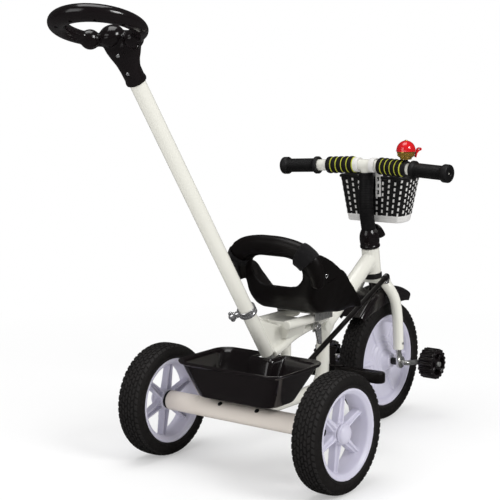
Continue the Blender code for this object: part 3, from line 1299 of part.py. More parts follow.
def seat_bracket():
    """The plate under the seat with a lip outside each rail, and the clamp lever beside the spine."""
    top = SEAT_HEIGHT - SEAT_WALL / 2 - CLEAR
    low = RAIL_HEIGHT + RAIL_RADIUS + CLEAR
    at = Vector((0, (BRACKET_FRONT + BRACKET_BACK) / 2, low))
    plate = box((-BRACKET_HALF, BRACKET_FRONT, low), (BRACKET_HALF, BRACKET_BACK, top))
    made = piece("seat_bracket", plate, ZINC, at)
    outside = RAIL_SPREAD + RAIL_RADIUS + CLEAR
    for word, side in SIDES:
        ends = sorted((side * outside, side * BRACKET_HALF))
        join(made, box((ends[0], BRACKET_FRONT + MM, RAIL_HEIGHT - RAIL_RADIUS / 2), (ends[1], BRACKET_BACK - MM, low + MM)))
    pivot = LEVER_PIVOT
    half = LUG_WALL / 2
    lug = (pivot.y - RAIL_RADIUS, pivot.y + RAIL_RADIUS)
    join(made, box((pivot.x - half, lug[0], pivot.z - RAIL_RADIUS), (pivot.x + half, lug[1], low + MM)))
    facing = turned_to(-X_AXIS, pivot)
    pin_end = half + CLEAR + LEVER_WALL
    join(made, rod(facing, PIN_RADIUS, 0, pin_end, TURNS["small"]))
    heading = Vector((-0.2, -0.98)) * LEVER_LENGTH
    outline = capsule((0, 0), heading, RAIL_RADIUS - MM, PIN_RADIUS + MM)
    plane = side_plane(Vector((pivot.x - half - CLEAR - LEVER_WALL, pivot.y, pivot.z)))
    lever = piece("seat_lever", prism(outline, 0, LEVER_WALL, plane), SATIN_BLACK, pivot)
    cut(lever, rod(facing, PIN_RADIUS + CLEAR, 0, 2 * pin_end, TURNS["small"]))


def footrests():
    """A bracket on the upright with two pegs that swing back."""
    low, high = PEG_HEIGHT - PEG_THICK / 2, PEG_HEIGHT + PEG_THICK / 2
    front = PEG_Y - EAR_RADIUS
    flat = Matrix.Identity(4)
    ears = capsule((-PEG_HINGE, PEG_Y), (PEG_HINGE, PEG_Y), EAR_RADIUS, EAR_RADIUS)
    under = prism(ears, low - CLEAR - EAR_WALL, low - CLEAR, flat)
    over = prism(ears, high + CLEAR, high + CLEAR + EAR_WALL, flat)
    made = piece("footrest_bracket", under, SATIN_BLACK, Vector((0, PEG_Y, PEG_HEIGHT)))
    back = PEG_Y + TUBE_SMALL / 2
    join(made, over, box((-PLATE_HALF, front, low - EAR_WALL / 2), (PLATE_HALF, back, PLATE_TOP)))
    for word, side in SIDES:
        hinge = turned_to(UP, (side * PEG_HINGE, PEG_Y, 0))
        join(made, rod(hinge, PIN_RADIUS, low - EAR_WALL / 2, high + EAR_WALL / 2, TURNS["small"]))
    cut(made, frame_tubes(CLEAR)[0])
    for word, side in SIDES:
        end = PEG_REACH - PEG_END
        outline = capsule((side * PEG_HINGE, PEG_Y), (side * end, PEG_Y), PEG_ROOT, PEG_END)
        at = Vector((side * PEG_HINGE, PEG_Y, PEG_HEIGHT))
        peg = piece(f"footrest_{word}", prism(outline, low, high, flat), SATIN_BLACK, at)
        cut(peg, rod(turned_to(UP, at), PIN_RADIUS + CLEAR, -PEG_THICK, PEG_THICK, TURNS["small"]))


def tray_outline(half, back, front, notch, grow):
    """The tray seen from above: a round-cornered rectangle with a notch in its front for the frame's foot."""
    outer, inner, foot = TRAY_CORNER + grow, NOTCH_CORNER - grow, NOTCH_HALF - grow
    corners = (
        ((half - outer, back - outer), outer, 0, 90),
        ((outer - half, back - outer), outer, 90, 180),
        ((outer - half, front + outer), outer, 180, 270),
        ((-foot - NOTCH_CORNER - grow, front + NOTCH_CORNER + grow), NOTCH_CORNER + grow, 270, 360),
        ((inner - foot, notch - inner), inner, 180, 90),
        ((foot - inner, notch - inner), inner, 90, 0),
        ((foot + NOTCH_CORNER + grow, front + NOTCH_CORNER + grow), NOTCH_CORNER + grow, 180, 270),
        ((half - outer, front + outer), outer, 270, 360),
    )
    points = []
    for (x, y), radius, start, end in corners:
        for step in range(4):
            angle = radians(start + (end - start) * step / 3)
            points.append((x + radius * cos(angle), y + radius * sin(angle)))
    return points


def tray():
    """The open tray with a rolled rim, on two bosses over the rear axle."""
    seat = REAR_AXLE.z + AXLE_TUBE + CLEAR
    floor = REAR_AXLE.z + AXLE_TUBE + TRAY_STAND

    def level(height, grow):
        share = (height - floor) / (TRAY_TOP - floor)
        half = TRAY_FLOOR_HALF + (TRAY_HALF - TRAY_RIM - TRAY_FLOOR_HALF) * share + grow
        back = TRAY_FLOOR_BACK + (TRAY_BACK - TRAY_RIM - TRAY_FLOOR_BACK) * share + grow
        front = TRAY_FLOOR_FRONT + (TRAY_FRONT + TRAY_RIM - TRAY_FLOOR_FRONT) * share - grow
        notch = NOTCH_FLOOR + (NOTCH_TOP - NOTCH_FLOOR) * share - grow
        notch = max(notch, front + NOTCH_CORNER * 2 + CLEAR)
        return [Vector((x, y, height)) for x, y in tray_outline(half, back, front, notch, grow)]

    under_rim = TRAY_TOP - TRAY_RIM
    rings = [
        level(floor, 0),
        level(under_rim, 0),
        level(under_rim, TRAY_RIM - MM),
        level(TRAY_TOP - MM, TRAY_RIM),
        level(TRAY_TOP, TRAY_RIM - MM),
        level(TRAY_TOP, -TRAY_WALL),
        level(floor + TRAY_WALL, -TRAY_WALL),
    ]
    made = piece("tray", loft(rings), GLOSS_BLACK, Vector((0, 0, floor)))
    bosses = []
    for word, side in SIDES:
        foot = turned_to(UP, Vector((side * TRAY_BOSS, 0, 0)))
        bosses.append(rod(foot, TRAY_WALL * 3, seat, floor + TRAY_WALL / 2, TURNS["small"]))
    join(made, *bosses)


def main():
    clear_scene()
    for word, side in SIDES:
        rear_wheel(word, side)
        spacer(word, side)
        axle_bracket(word, side)
        pedal(word, side)
    rear_axle()
    front_wheel()
    crank_axle()
    fork()
    head_fittings()
    fender()
    handlebar()
    bell()
    basket()
    main_frame()
    rear_frame()
    push_bar()
    linkage()
    seat()
    footrests()
    tray()
    root = bpy.data.objects.new("tricycle", None)
    bpy.context.scene.collection.objects.link(root)
    root.location = (0, REAR_AXLE_Y, 0)
    for obj in list(bpy.context.scene.objects):
        if obj is not root:
            obj.parent = root


main()
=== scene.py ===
"""A child's push tricycle: the finish of every piece, built round its packed model.

The file is laid out as a Blender add-on and is run as a script. Numbers in the tables are millimetres
from the middle of the rear axle at ground level: +X is the rider's left, -Y is ahead and +Z is up.
"""

import json
from math import atan2, cos, hypot, pi, radians, sin

import bpy
from bpy.props import FloatProperty, FloatVectorProperty, IntProperty, PointerProperty
from mathutils import Matrix, Vector


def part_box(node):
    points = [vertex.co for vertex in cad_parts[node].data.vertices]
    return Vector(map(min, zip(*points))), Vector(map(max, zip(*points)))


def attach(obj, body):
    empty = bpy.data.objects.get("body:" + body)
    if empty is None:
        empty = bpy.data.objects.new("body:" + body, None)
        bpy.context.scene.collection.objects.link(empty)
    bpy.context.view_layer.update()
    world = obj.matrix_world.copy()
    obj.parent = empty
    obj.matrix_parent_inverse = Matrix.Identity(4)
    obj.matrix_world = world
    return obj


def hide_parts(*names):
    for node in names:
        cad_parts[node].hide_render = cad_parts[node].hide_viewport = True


bl_info = {
    "name": "Push Tricycle Finish",
    "version": (1, 0, 0),
    "blender": (4, 5, 0),
    "location": "View3D > Sidebar > Tricycle",
    "description": "Models the visible pieces of a child's push tricycle round its packed frame",
    "category": "Mesh",
}

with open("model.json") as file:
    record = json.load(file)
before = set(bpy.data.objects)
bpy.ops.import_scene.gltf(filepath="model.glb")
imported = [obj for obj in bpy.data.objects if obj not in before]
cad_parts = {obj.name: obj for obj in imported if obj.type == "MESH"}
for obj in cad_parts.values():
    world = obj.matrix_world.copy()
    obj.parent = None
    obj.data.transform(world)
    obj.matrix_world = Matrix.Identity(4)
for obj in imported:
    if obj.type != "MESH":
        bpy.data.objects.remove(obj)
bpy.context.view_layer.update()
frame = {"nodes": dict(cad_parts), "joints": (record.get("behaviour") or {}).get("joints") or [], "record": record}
NODES = frame["nodes"]
RECORD = frame["record"]
BODY_OF = {node: body for body, members in RECORD["behaviour"]["bodies"].items() for node in members}
SLOT_OF = {part["node"]: part["material_slot"] for part in RECORD["subparts"]}
JOINTS = {joint["name"]: joint for joint in frame["joints"]}

MM = 0.001
X_AXIS = Vector((1, 0, 0))
UP = Vector((0, 0, 1))
SIDES = (("left", 1), ("right", -1))


def middle_of(node):
    low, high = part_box(node)
    return (low + high) / 2


REAR_AXLE = (middle_of("rear_tyre_left") + middle_of("rear_tyre_right")) / 2
FRONT_AXLE = middle_of("front_tyre")
STEER_AXIS = Vector(JOINTS["steer"]["axis"])
PUSH_AXIS = Vector(JOINTS["push_steer"]["axis"])
PUSH_FOOT = Vector(JOINTS["push_steer"]["pos_m"])


def at(x, y, z):
    """A point given in millimetres from the middle of the rear axle, at ground level."""
    return Vector((x * MM, REAR_AXLE.y + y * MM, z * MM))


def on_head(height):
    """The point of the steering axis this many millimetres above the ground."""
    return FRONT_AXLE + STEER_AXIS * ((height * MM - FRONT_AXLE.z) / STEER_AXIS.z)


def on_push(along):
    """The point of the push bar's axis this many millimetres above its foot."""
    return PUSH_FOOT + PUSH_AXIS * (along * MM)


# Handles on Blender's editing


def deselect():
    if bpy.context.mode != "OBJECT":
        bpy.ops.object.mode_set(mode="OBJECT")
    bpy.ops.object.select_all(action="DESELECT")


def choose(obj):
    deselect()
    obj.select_set(True)
    bpy.context.view_layer.objects.active = obj


def edit(obj):
    choose(obj)
    bpy.ops.object.mode_set(mode="EDIT")
    bpy.ops.mesh.select_mode(type="VERT")
    bpy.ops.mesh.select_all(action="SELECT")


def tidied(obj):
    """Merges doubles and turns the faces outwards."""
    edit(obj)
    bpy.ops.mesh.remove_doubles(threshold=MM / 200)
    bpy.ops.mesh.normals_make_consistent(inside=False)
    bpy.ops.object.mode_set(mode="OBJECT")
    return obj


def drawn(name, points, closed=False):
    """A line of edges through the points, drawn by extruding one corner from point to point."""
    deselect()
    bpy.ops.mesh.primitive_plane_add(size=MM, location=points[0])
    made = bpy.context.object
    made.name = made.data.name = name
    bpy.ops.object.transform_apply(location=True, rotation=True, scale=True)
    edit(made)
    bpy.ops.mesh.merge(type="CENTER")
    stops = list(points) + ([points[0]] if closed else [])
    for here, there in zip(stops, stops[1:]):
        bpy.ops.mesh.extrude_vertices_move(TRANSFORM_OT_translate={"value": there - here})
    bpy.ops.mesh.select_all(action="SELECT")
    if closed:
        bpy.ops.mesh.remove_doubles(threshold=MM / 200)
    return made


def spun(name, profile, axis, centre, steps=64):
    """A turned piece. The profile's (radius, along) points are millimetres from the centre."""
    side = axis.orthogonal().normalized()
    points = [centre + side * (radius * MM) + axis * (along * MM) for radius, along in profile]
    drawn(name, points, closed=profile[0][0] > 0)
    made = bpy.context.object
    bpy.ops.mesh.spin(steps=steps, angle=2 * pi, center=centre, axis=axis)
    return tidied(made)


def lofted(name, rings, capped=True):
    """A skin that starts as one closed line and is extruded from ring to ring."""
    made = drawn(name, rings[0], closed=True)
    if capped:
        bpy.ops.mesh.edge_face_add()
        bpy.ops.mesh.select_mode(type="EDGE")
    for before, after in zip(rings, rings[1:]):
        bpy.ops.mesh.extrude_edges_move()
        bpy.ops.object.mode_set(mode="OBJECT")
        for vertex in made.data.vertices:
            if vertex.select:
                nearest = min(range(len(before)), key=lambda index: (before[index] - vertex.co).length)
                vertex.co = after[nearest]
        bpy.ops.object.mode_set(mode="EDIT")
    if capped:
        bpy.ops.mesh.edge_face_add()
    return tidied(made)


def slab(name, outline, thick):
    """A flat plate: an outline of points and the way through its thickness."""
    return lofted(name, [outline, [point + thick for point in outline]])


def piped(name, points, radius, swell=None, closed=False, sides=6):
    """A round bar along a line. swell scales its radius at a point."""
    drawn(name, points, closed)
    bpy.ops.object.mode_set(mode="OBJECT")
    bpy.ops.object.convert(target="CURVE")
    made = bpy.context.object
    made.data.bevel_depth = radius * MM
    made.data.bevel_resolution = sides
    made.data.use_fill_caps = True
    if swell:
        for point in made.data.splines[0].points:
            point.radius = swell(Vector(point.co[:3]))
    bpy.ops.object.convert(target="MESH")
    return tidied(bpy.context.object)


def applied(obj, kind, **settings):
    """Adds a modifier, sets it and applies it."""
    choose(obj)
    bpy.ops.object.modifier_add(type=kind)
    modifier = obj.modifiers[-1]
    for setting, value in settings.items():
        setattr(modifier, setting, value)
    bpy.ops.object.modifier_apply(modifier=modifier.name)
    return obj


def softened(obj, width, segments=2, angle=32):
    """Rounds the sharp edges, by a width in millimetres."""
    return applied(
        obj, "BEVEL", width=width * MM, segments=segments, limit_method="ANGLE", angle_limit=radians(angle)
    )


def joined(name, *objs):
    deselect()
    for obj in objs:
        obj.select_set(True)
    bpy.context.view_layer.objects.active = objs[0]
    bpy.ops.object.join()
    made = bpy.context.object
    made.name = made.data.name = name
    return made


def fused(obj, voxel, ease):
    """Skins overlapping solids with one even mesh and eases its corners, as a weld or a mould does."""
    applied(obj, "REMESH", mode="VOXEL", voxel_size=voxel * MM)
    return applied(obj, "SMOOTH", factor=0.5, iterations=ease)


def cut_by(obj, *cutters):
    """Takes the cutters out of a piece."""
    for cutter in cutters:
        applied(obj, "BOOLEAN", operation="DIFFERENCE", solver="EXACT", object=cutter)
        bpy.data.objects.remove(cutter)
    return obj


def copied(obj, name, matrix):
    """A copy with its own mesh, moved as its points are."""
    choose(obj)
    bpy.ops.object.duplicate()
    made = bpy.context.object
    made.name = made.data.name = name
    made.data.transform(matrix)
    if matrix.determinant() < 0:
        tidied(made)
    return made


def around(centre, axis, angle):
    """A turn about an axis through a point."""
    return Matrix.Translation(centre) @ Matrix.Rotation(angle, 4, axis) @ Matrix.Translation(-centre)


def cast(node, name, voxel, ease):
    """A closed copy of a CAD node with its facets eased away."""
    made = NODES[node].copy()
    made.data = NODES[node].data.copy()
    made.name = made.data.name = name
    made.parent = None
    for key in list(made.keys()):
        del made[key]
    bpy.context.scene.collection.objects.link(made)
    edit(made)
    bpy.ops.mesh.customdata_custom_splitnormals_clear()
    bpy.ops.mesh.remove_doubles(threshold=MM / 100)
    bpy.ops.object.mode_set(mode="OBJECT")
    return fused(made, voxel, ease)


def pick(obj, test):
    """Selects, in edit mode, the faces whose centre and normal pass a test."""
    edit(obj)
    bpy.ops.mesh.select_mode(type="FACE")
    bpy.ops.mesh.select_all(action="DESELECT")
    bpy.ops.object.mode_set(mode="OBJECT")
    for face in obj.data.polygons:
        face.select = bool(test(face.center, face.normal))
    bpy.ops.object.mode_set(mode="EDIT")


def shaded(obj, angle, finishes):
    """Shades a piece smooth up to an angle and gives it finishes by the names of their slots."""
    choose(obj)
    bpy.ops.object.shade_smooth_by_angle(angle=radians(angle))
    for index, finish in enumerate(finishes):
        if index == len(obj.data.materials):
            obj.data.materials.append(None)
        obj.data.materials[index] = finish_for(finish)


def settle(obj, node, angle=35, slot=None, finishes=None):
    """Finishes a piece and lets it ride and stand for its node, in its slot unless another is named."""
    slot = slot or SLOT_OF[node]
    shaded(obj, angle, finishes or (slot,))
    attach(obj, BODY_OF[node])
    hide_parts(node)


def trim(obj, body, slot):
    """Finishes a small piece that stands for no node of its own."""
    shaded(obj, 35, (slot,))
    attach(obj, body)


def parted(obj, finishes, number_of):
    """Gives a piece its finishes, and each face the one whose number the rule returns."""
    for finish in finishes:
        obj.data.materials.append(finish_for(finish))
    for face in obj.data.polygons:
        face.material_index = number_of(face)


def spoke(angle):
    """The direction at an angle round an axle: 0 is behind and a quarter turn is up."""
    return Vector((0, cos(angle), sin(angle)))


def paddle(name, centre, outward, heading, root, tip, start, thick):
    """A flat bar that stands out from an axle. root and tip are (radius, half its width), in millimetres."""
    across = outward.cross(heading)
    outline = []
    for radius, half in ((root[0], -root[1]), (tip[0], -tip[1]), tip, root):
        outline.append(centre + heading * (radius * MM) + across * (half * MM) + outward * (start * MM))
    return slab(name, outline, outward * (thick * MM))


def span_from_middle(node):
    """How far a node's near and far ends lie from the middle plane, in millimetres."""
    low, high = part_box(node)
    return sorted((abs(low.x) / MM, abs(high.x) / MM))


def curve_through(points, per_span):
    """A smooth line through the points."""
    points = [Vector(point) for point in points]
    ends = [points[0] * 2 - points[1]] + points + [points[-1] * 2 - points[-2]]
    line = []
    for index in range(1, len(ends) - 2):
        a, b, c, d = ends[index - 1 : index + 3]
        for step in range(per_span):
            t = step / per_span
            bend = (2 * a - 5 * b + 4 * c - d) * t * t + (3 * b - a - 3 * c + d) * t**3
            line.append(0.5 * (2 * b + (c - a) * t + bend))
    return line + [points[-1]]


def arc(centre_radius, centre_along, radius, start, end):
    """Profile points of a round corner, in millimetres, between two angles in degrees."""
    points, steps = [], 6
    for step in range(steps + 1):
        angle = radians(start + (end - start) * step / steps)
        points.append((centre_radius + radius * cos(angle), centre_along + radius * sin(angle)))
    return points


def round_plate(centres, radii, centre, across, up, steps):
    """The outline of a strap with two round ends, in a plane of two directions."""
    (ax, ay), (bx, by) = centres
    heading = atan2(by - ay, bx - ax)
    points = []
    for (x, y), radius, first in (((bx, by), radii[1], -pi / 2), ((ax, ay), radii[0], pi / 2)):
        for step in range(steps + 1):
            angle = heading + first + pi * step / steps
            reach = across * ((x + radius * cos(angle)) * MM) + up * ((y + radius * sin(angle)) * MM)
            points.append(centre + reach)
    return points


# Finishes


def plug(tree, socket, value):
    """Gives an input a value, or a link where the value is another node's output."""
    if isinstance(value, bpy.types.NodeSocket):
        tree.links.new(value, socket)
    else:
        socket.default_value = value


def feed(tree, target, **inputs):
    """Fills a node's inputs, named with _ for a space."""
    for name, value in inputs.items():
        plug(tree, target.inputs[name.replace("_", " ")], value)


def added(tree, kind, **inputs):
    """Adds a shader node and fills its inputs."""
    made = tree.nodes.new("ShaderNode" + kind)
    feed(tree, made, **inputs)
    return made


def worked(tree, operation, *values):
    """The output of a sum on values or sockets."""
    made = added(tree, "Math")
    made.operation = operation
    for socket, value in zip(made.inputs, values):
        plug(tree, socket, value)
    return made.outputs[0]


def own_place(tree):
    """The piece's own coordinates."""
    return added(tree, "TexCoord").outputs["Object"]


def noise(tree, scale, detail=3.0, stretch=(1, 1, 1)):
    """Noise on the piece's own coordinates."""
    mapped = added(tree, "Mapping", Vector=own_place(tree), Scale=stretch).outputs["Vector"]
    return added(tree, "TexNoise", Vector=mapped, Scale=scale, Detail=detail).outputs[0]


def ranged(tree, source, low, high, start=0.3, end=0.7):
    """A value moved from one range to another."""
    span = {"From_Min": start, "From_Max": end, "To_Min": low, "To_Max": high}
    return added(tree, "MapRange", Value=source, **span).outputs[0]


def mixed(tree, factor, first, second):
    """A colour between two, each a colour or a socket."""
    made = added(tree, "Mix")
    made.data_type = "RGBA"
    plug(tree, made.inputs[0], factor)
    for index, colour in ((6, first), (7, second)):
        plug(tree, made.inputs[index], colour if isinstance(colour, bpy.types.NodeSocket) else (*colour, 1))
    return made.outputs[2]


def relief(tree, shader, height, distance):
    """Lets a height, in millimetres, move the surface's light."""
    bump = added(tree, "Bump", Distance=distance * MM, Strength=1.0, Height=height)
    feed(tree, shader, Normal=bump.outputs["Normal"])


def scaled(colour, amount):
    return tuple(min(1.0, part * amount) for part in colour)


def blank(name, **sockets):
    """A material with its node tree and its shader."""
    made = bpy.data.materials.new(name)
    made.use_nodes = True
    shader = made.node_tree.nodes["Principled BSDF"]
    feed(made.node_tree, shader, **sockets)
    return made, made.node_tree, shader


def surface(name, colour, rough, mottle, patch, grain, depth, edge, **sockets):
    """A finish with broad tone patches, uneven gloss, a fine grain and edges rubbed lighter."""
    made, tree, shader = blank(name, **sockets)
    patches = ranged(tree, noise(tree, patch), 0, 1)
    tone = mixed(tree, patches, scaled(colour, 1 - mottle), scaled(colour, 1 + mottle))
    if edge:
        sharp = added(tree, "NewGeometry").outputs["Pointiness"]
        rubbed = ranged(tree, sharp, 0, edge, 0.52, 0.62)
        tone = mixed(tree, rubbed, tone, tuple(min(1.0, part * 0.6 + 0.25) for part in colour))
    feed(tree, shader, Base_Color=tone, Roughness=ranged(tree, noise(tree, patch * 4, 5.0), *rough))
    if depth:
        relief(tree, shader, noise(tree, grain, 2.0), depth)
    return made


def waves(tree, direction, scale):
    """Bands across one of the piece's own axes."""
    made = added(tree, "TexWave", Scale=scale, Vector=own_place(tree))
    made.bands_direction = direction
    return made.outputs[1]


def woven(name, colour, threads):
    """Nylon webbing: two crossed sets of threads, with light on their crowns."""
    made, tree, shader = blank(name, Specular_IOR_Level=0.2, Sheen_Weight=0.06, Sheen_Roughness=0.5)
    cloth = worked(tree, "MAXIMUM", waves(tree, "X", threads), waves(tree, "Z", threads))
    tone = mixed(tree, ranged(tree, cloth, 0, 1, 0, 1), scaled(colour, 0.5), scaled(colour, 1.5))
    feed(tree, shader, Base_Color=tone, Roughness=ranged(tree, noise(tree, 60), 0.75, 0.95))
    relief(tree, shader, cloth, 0.25)
    return made


def cells(tree, scale, start, end):
    """Rounded cells on the piece's own coordinates, from 0 at their middles to 1 at their edges."""
    made = added(tree, "TexVoronoi", Scale=scale, Vector=own_place(tree))
    return ranged(tree, made.outputs["Distance"], 0, 1, start, end)


def porous(name, colour):
    """Closed-cell foam: small dimples in a matte skin."""
    made, tree, shader = blank(name, Specular_IOR_Level=0.3)
    pores = cells(tree, 1400, 0.1, 0.6)
    # Painted shade: the pores' middles, where the bump sinks the dimples, are painted darker than the skin between
    # them.
    tone = mixed(tree, pores, scaled(colour, 0.7), scaled(colour, 1.15))
    feed(tree, shader, Base_Color=tone, Roughness=ranged(tree, noise(tree, 80), 0.7, 0.9))
    relief(tree, shader, pores, 0.08)
    return made


def plated(name, colour, rough, spangle):
    """Plated steel: bright metal with a faint crystal pattern and fine scratches."""
    made, tree, shader = blank(name, Metallic=0.86)
    tone = mixed(tree, cells(tree, spangle, 0.0, 0.7), scaled(colour, 0.88), colour)
    scratches = noise(tree, 500, 4.0, (1, 1, 0.12))
    feed(tree, shader, Base_Color=tone, Roughness=ranged(tree, scratches, *rough))
    relief(tree, shader, scratches, 0.01)
    return made


FINISHES = {}


def coat(weight, rough):
    return {"Coat_Weight": weight, "Coat_Roughness": rough}


def finish_for(slot):
    """The finish of a material slot or of a named detail, made on first use."""
    if FINISHES:
        return FINISHES[slot]
    colours = bpy.context.scene.tricycle_colours
    dull = {"Specular_IOR_Level": 0.3}
    soft = {"Subsurface_Weight": 0.08, "Subsurface_Radius": (0.004, 0.004, 0.005), "Subsurface_Scale": 1.0}
    # Name, colour, roughness, mottle, patch scale, grain scale, grain depth, edge wear, further sockets
    for name, colour, rough, mottle, patch, grain, depth, edge, sockets in (
        ("frame_white", colours.frame, (0.2, 0.26), 0.006, 6, 300, 0, 0, coat(0.4, 0.08)),
        ("axle_cream", colours.axle, (0.26, 0.34), 0.01, 6, 300, 0, 0, coat(0.3, 0.14)),
        ("rim_plastic", colours.rim, (0.3, 0.38), 0.015, 20, 700, 0.004, 0, soft),
        ("tyre_foam", colours.tyre, (0.55, 0.8), 0.22, 60, 1500, 0.05, 0.05, dull),
        ("gloss_black", colours.gloss_black, (0.14, 0.2), 0.06, 14, 300, 0, 0.02, coat(0.2, 0.06)),
        ("seat_plastic", colours.seat, (0.34, 0.44), 0.08, 15, 2200, 0.006, 0.01, dull),
        ("rubber_black", colours.rubber, (0.42, 0.6), 0.15, 50, 1200, 0.02, 0.05, dull),
        ("bell_red", colours.bell_red, (0.1, 0.2), 0.06, 40, 500, 0.005, 0, coat(0.8, 0.05)),
        ("basket_plastic", colours.basket_black, (0.3, 0.5), 0.2, 90, 1300, 0.03, 0.06, {}),
        ("basket_white", colours.basket_white, (0.3, 0.5), 0.05, 90, 1300, 0.03, 0, {}),
    ):
        FINISHES[name] = surface(name, colour, rough, mottle, patch, grain, depth, edge, **sockets)
    for name, colour, rough, spangle in (
        ("zinc_steel", colours.zinc, (0.22, 0.42), 260),
        ("chrome_steel", colours.chrome, (0.06, 0.18), 120),
        ("bell_gold", colours.bell_gold, (0.16, 0.3), 300),
    ):
        FINISHES[name] = plated(name, colour, rough, spangle)
    for name, colour in (("bar_foam", colours.foam), ("foam_rings", colours.foam_rings)):
        FINISHES[name] = porous(name, colour)
    FINISHES["harness_webbing"] = woven("harness_webbing", colours.webbing, 190)
    return FINISHES[slot]


# Wheels

TREAD_ROWS = 7
TREAD_GROOVE = 1.3
TREAD_REACH = 9  # how far below the crown the tread goes
TREAD_SLANT = 0.9  # across one row, in steps of the turning
BLOCK_STEPS = 4  # three for a block and one for its gap
SHOULDER_DROP = 6.5
TYRES = (  # node, radius, inner radius, half width, number of blocks round it
    ("rear_tyre_left", 105, 79.3, 25, 54),
    ("rear_tyre_right", 105, 79.3, 25, 54),
    ("front_tyre", 122.5, 93.3, 22.5, 64),
)
FIRST_ARM = 20  # degrees that a rear rim's first arm is turned from straight ahead


def tyre(name, radius, inner, half, pitches):
    """A foam tyre with slanted, staggered tread blocks raised from its crown and shoulders."""
    depth = bpy.context.scene.tricycle_sizes.tread_depth / MM
    centre = middle_of(name)
    edge = half - 2.2
    row = (2 * edge + TREAD_GROOVE) / TREAD_ROWS
    steps = pitches * BLOCK_STEPS

    def crown(along):
        return radius - depth - SHOULDER_DROP * (abs(along) / half) ** 4, along

    wall = [(inner, half - 1.5), (inner + 2.2, half - 0.4), (inner + 4.6, half), (inner + 5.4, half - 0.7)]
    wall += [(inner + 6.6, half - 0.1), (radius - 14, half), (radius - 10.4, half - 0.3)]
    crest = []
    for index in range(TREAD_ROWS):
        start = edge - index * row
        crest += [crown(start), crown(start - row + TREAD_GROOVE)]
    profile = wall + crest + [(out, -along) for out, along in wall[::-1]]
    made = spun(f"{name}_treaded", profile, X_AXIS, centre, steps)

    def row_at(point):
        """The tread row of a point, counted from the left edge, or None below the tread."""
        reach = point - centre
        if hypot(reach.y, reach.z) / MM < radius - TREAD_REACH:
            return None
        return (edge - reach.x / MM) / row

    for vertex in made.data.vertices:
        place = row_at(vertex.co)
        if place is not None:
            number = min(TREAD_ROWS - 1, int(place + 0.02))
            share = (place - number) * row / (row - TREAD_GROOVE)
            slant = (share - 0.5) * (1 if number % 2 else -1) * TREAD_SLANT
            vertex.co = around(centre, X_AXIS, slant * 2 * pi / steps) @ vertex.co

    def is_block(point, _):
        place = row_at(point)
        if place is None or not 0 <= place <= TREAD_ROWS or (place % 1) * row > row - TREAD_GROOVE:
            return False
        reach = point - centre
        step = int((atan2(reach.z, reach.y) / (2 * pi) % 1) * steps)
        return (step + 2 * int(place)) % BLOCK_STEPS != 0

    pick(made, is_block)
    bpy.ops.mesh.inset(thickness=0.45 * MM, depth=depth * MM, use_individual=False)
    bpy.ops.object.mode_set(mode="OBJECT")
    settle(made, name, 28)


def mirrored_profile(right):
    """A closed profile from its right half."""
    return right + [(out, -along) for out, along in right[::-1]]


def arm(name, centre, outward, heading, root, tip):
    """One arm of a rear rim: a channel open to the inside with a ridge on its outer side."""
    across = outward.cross(heading)
    bar = paddle(name, centre, outward, heading, root, tip, -10, 15)
    pick(bar, lambda point, normal: normal.dot(outward) < -0.9)
    bpy.ops.mesh.inset(thickness=2.2 * MM, depth=0)
    bpy.ops.mesh.inset(thickness=0.6 * MM, depth=-9 * MM)
    bpy.ops.object.mode_set(mode="OBJECT")
    ridge = []
    for radius, foot, crest, top in ((root[0], 3.4, 2.04, 10.5), (tip[0], 1.6, 1.0, 8.5)):
        start = centre + heading * (radius * MM)
        corners = ((-foot, 4), (-crest, top), (crest, top), (foot, 4))
        ridge.append([start + across * (half * MM) + outward * (along * MM) for half, along in corners])
    return joined(name, bar, lofted(f"{name}_ridge", ridge))


def rear_rim(word, side):
    """A rim barrel with six channelled arms, a stepped hub and a stepped lip."""
    name = f"rear_rim_{word}"
    centre, outward = middle_of(name), X_AXIS * side
    right = [(79, 23.5), (75, 23.5), (73.4, 22.6), (72.6, 20.6), (70.4, 20), (68.2, 17), (66.4, 4)]
    pieces = [spun(f"{name}_moulded", mirrored_profile(right), X_AXIS, centre, 96)]
    hub = [(19, 10.9), (17.5, 10.9), (17, 9), (6.4, 9), (6.4, -10.9), (19, -10.9)]
    pieces.append(spun(f"{name}_hub", hub, outward, centre, 64))
    first = arm(f"{name}_arm", centre, outward, Vector((0, -1, 0)), (15, 7.5), (69, 5))
    for number in range(6):
        turn = around(centre, X_AXIS, -radians(FIRST_ARM + 60 * number))
        pieces.append(copied(first, f"{name}_arm_{number}", turn))
    bpy.data.objects.remove(first)
    settle(fused(joined(f"{name}_moulded", *pieces), 1.25, 4), name, 60)


def front_rim():
    """A dished rim with a closed web, rings round its hub and six ribs."""
    centre = middle_of("front_rim")
    right = [(93, 19.5), (89, 19.5), (87.4, 18.6), (86.6, 16.6), (84.4, 16), (82, 13), (80.5, 6.5)]
    right += [(47, 6), (45, 8.5), (42.5, 8.5), (41.5, 7), (39, 8), (36, 12), (33.5, 12.5), (31, 11.4)]
    right += [(28, 14.5), (25, 15.8), (22.5, 15), (19, 19.5), (15.5, 26), (14, 30), (5.4, 30)]
    pieces = [spun("front_rim_moulded", mirrored_profile(right), X_AXIS, centre, 96)]
    for number in range(6):
        heading = spoke(pi * number / 3)
        rib = paddle(f"front_rim_rib_{number}", centre, X_AXIS, heading, (36, 5.5), (84, 2.4), -10.5, 21)
        pieces.append(softened(rib, 1))
    settle(fused(joined("front_rim_moulded", *pieces), 1.4, 4), "front_rim", 60)


def hub_cap(word, side):
    """A domed cap with a low collar, hollow on its inside."""
    centre = Vector((middle_of(f"rear_tyre_{word}").x, REAR_AXLE.y, REAR_AXLE.z))
    profile = [(0, 23.3)] + [(17 * sin(radians(a)), 15.3 + 8 * cos(radians(a))) for a in range(15, 91, 15)]
    profile += [(17.9, 14.6), (18, 11.5), (16, 11.5), (15.5, 15), (8, 20.8), (0, 21)]
    settle(spun(f"hub_cap_{word}_domed", profile, X_AXIS * side, centre), f"hub_cap_{word}")


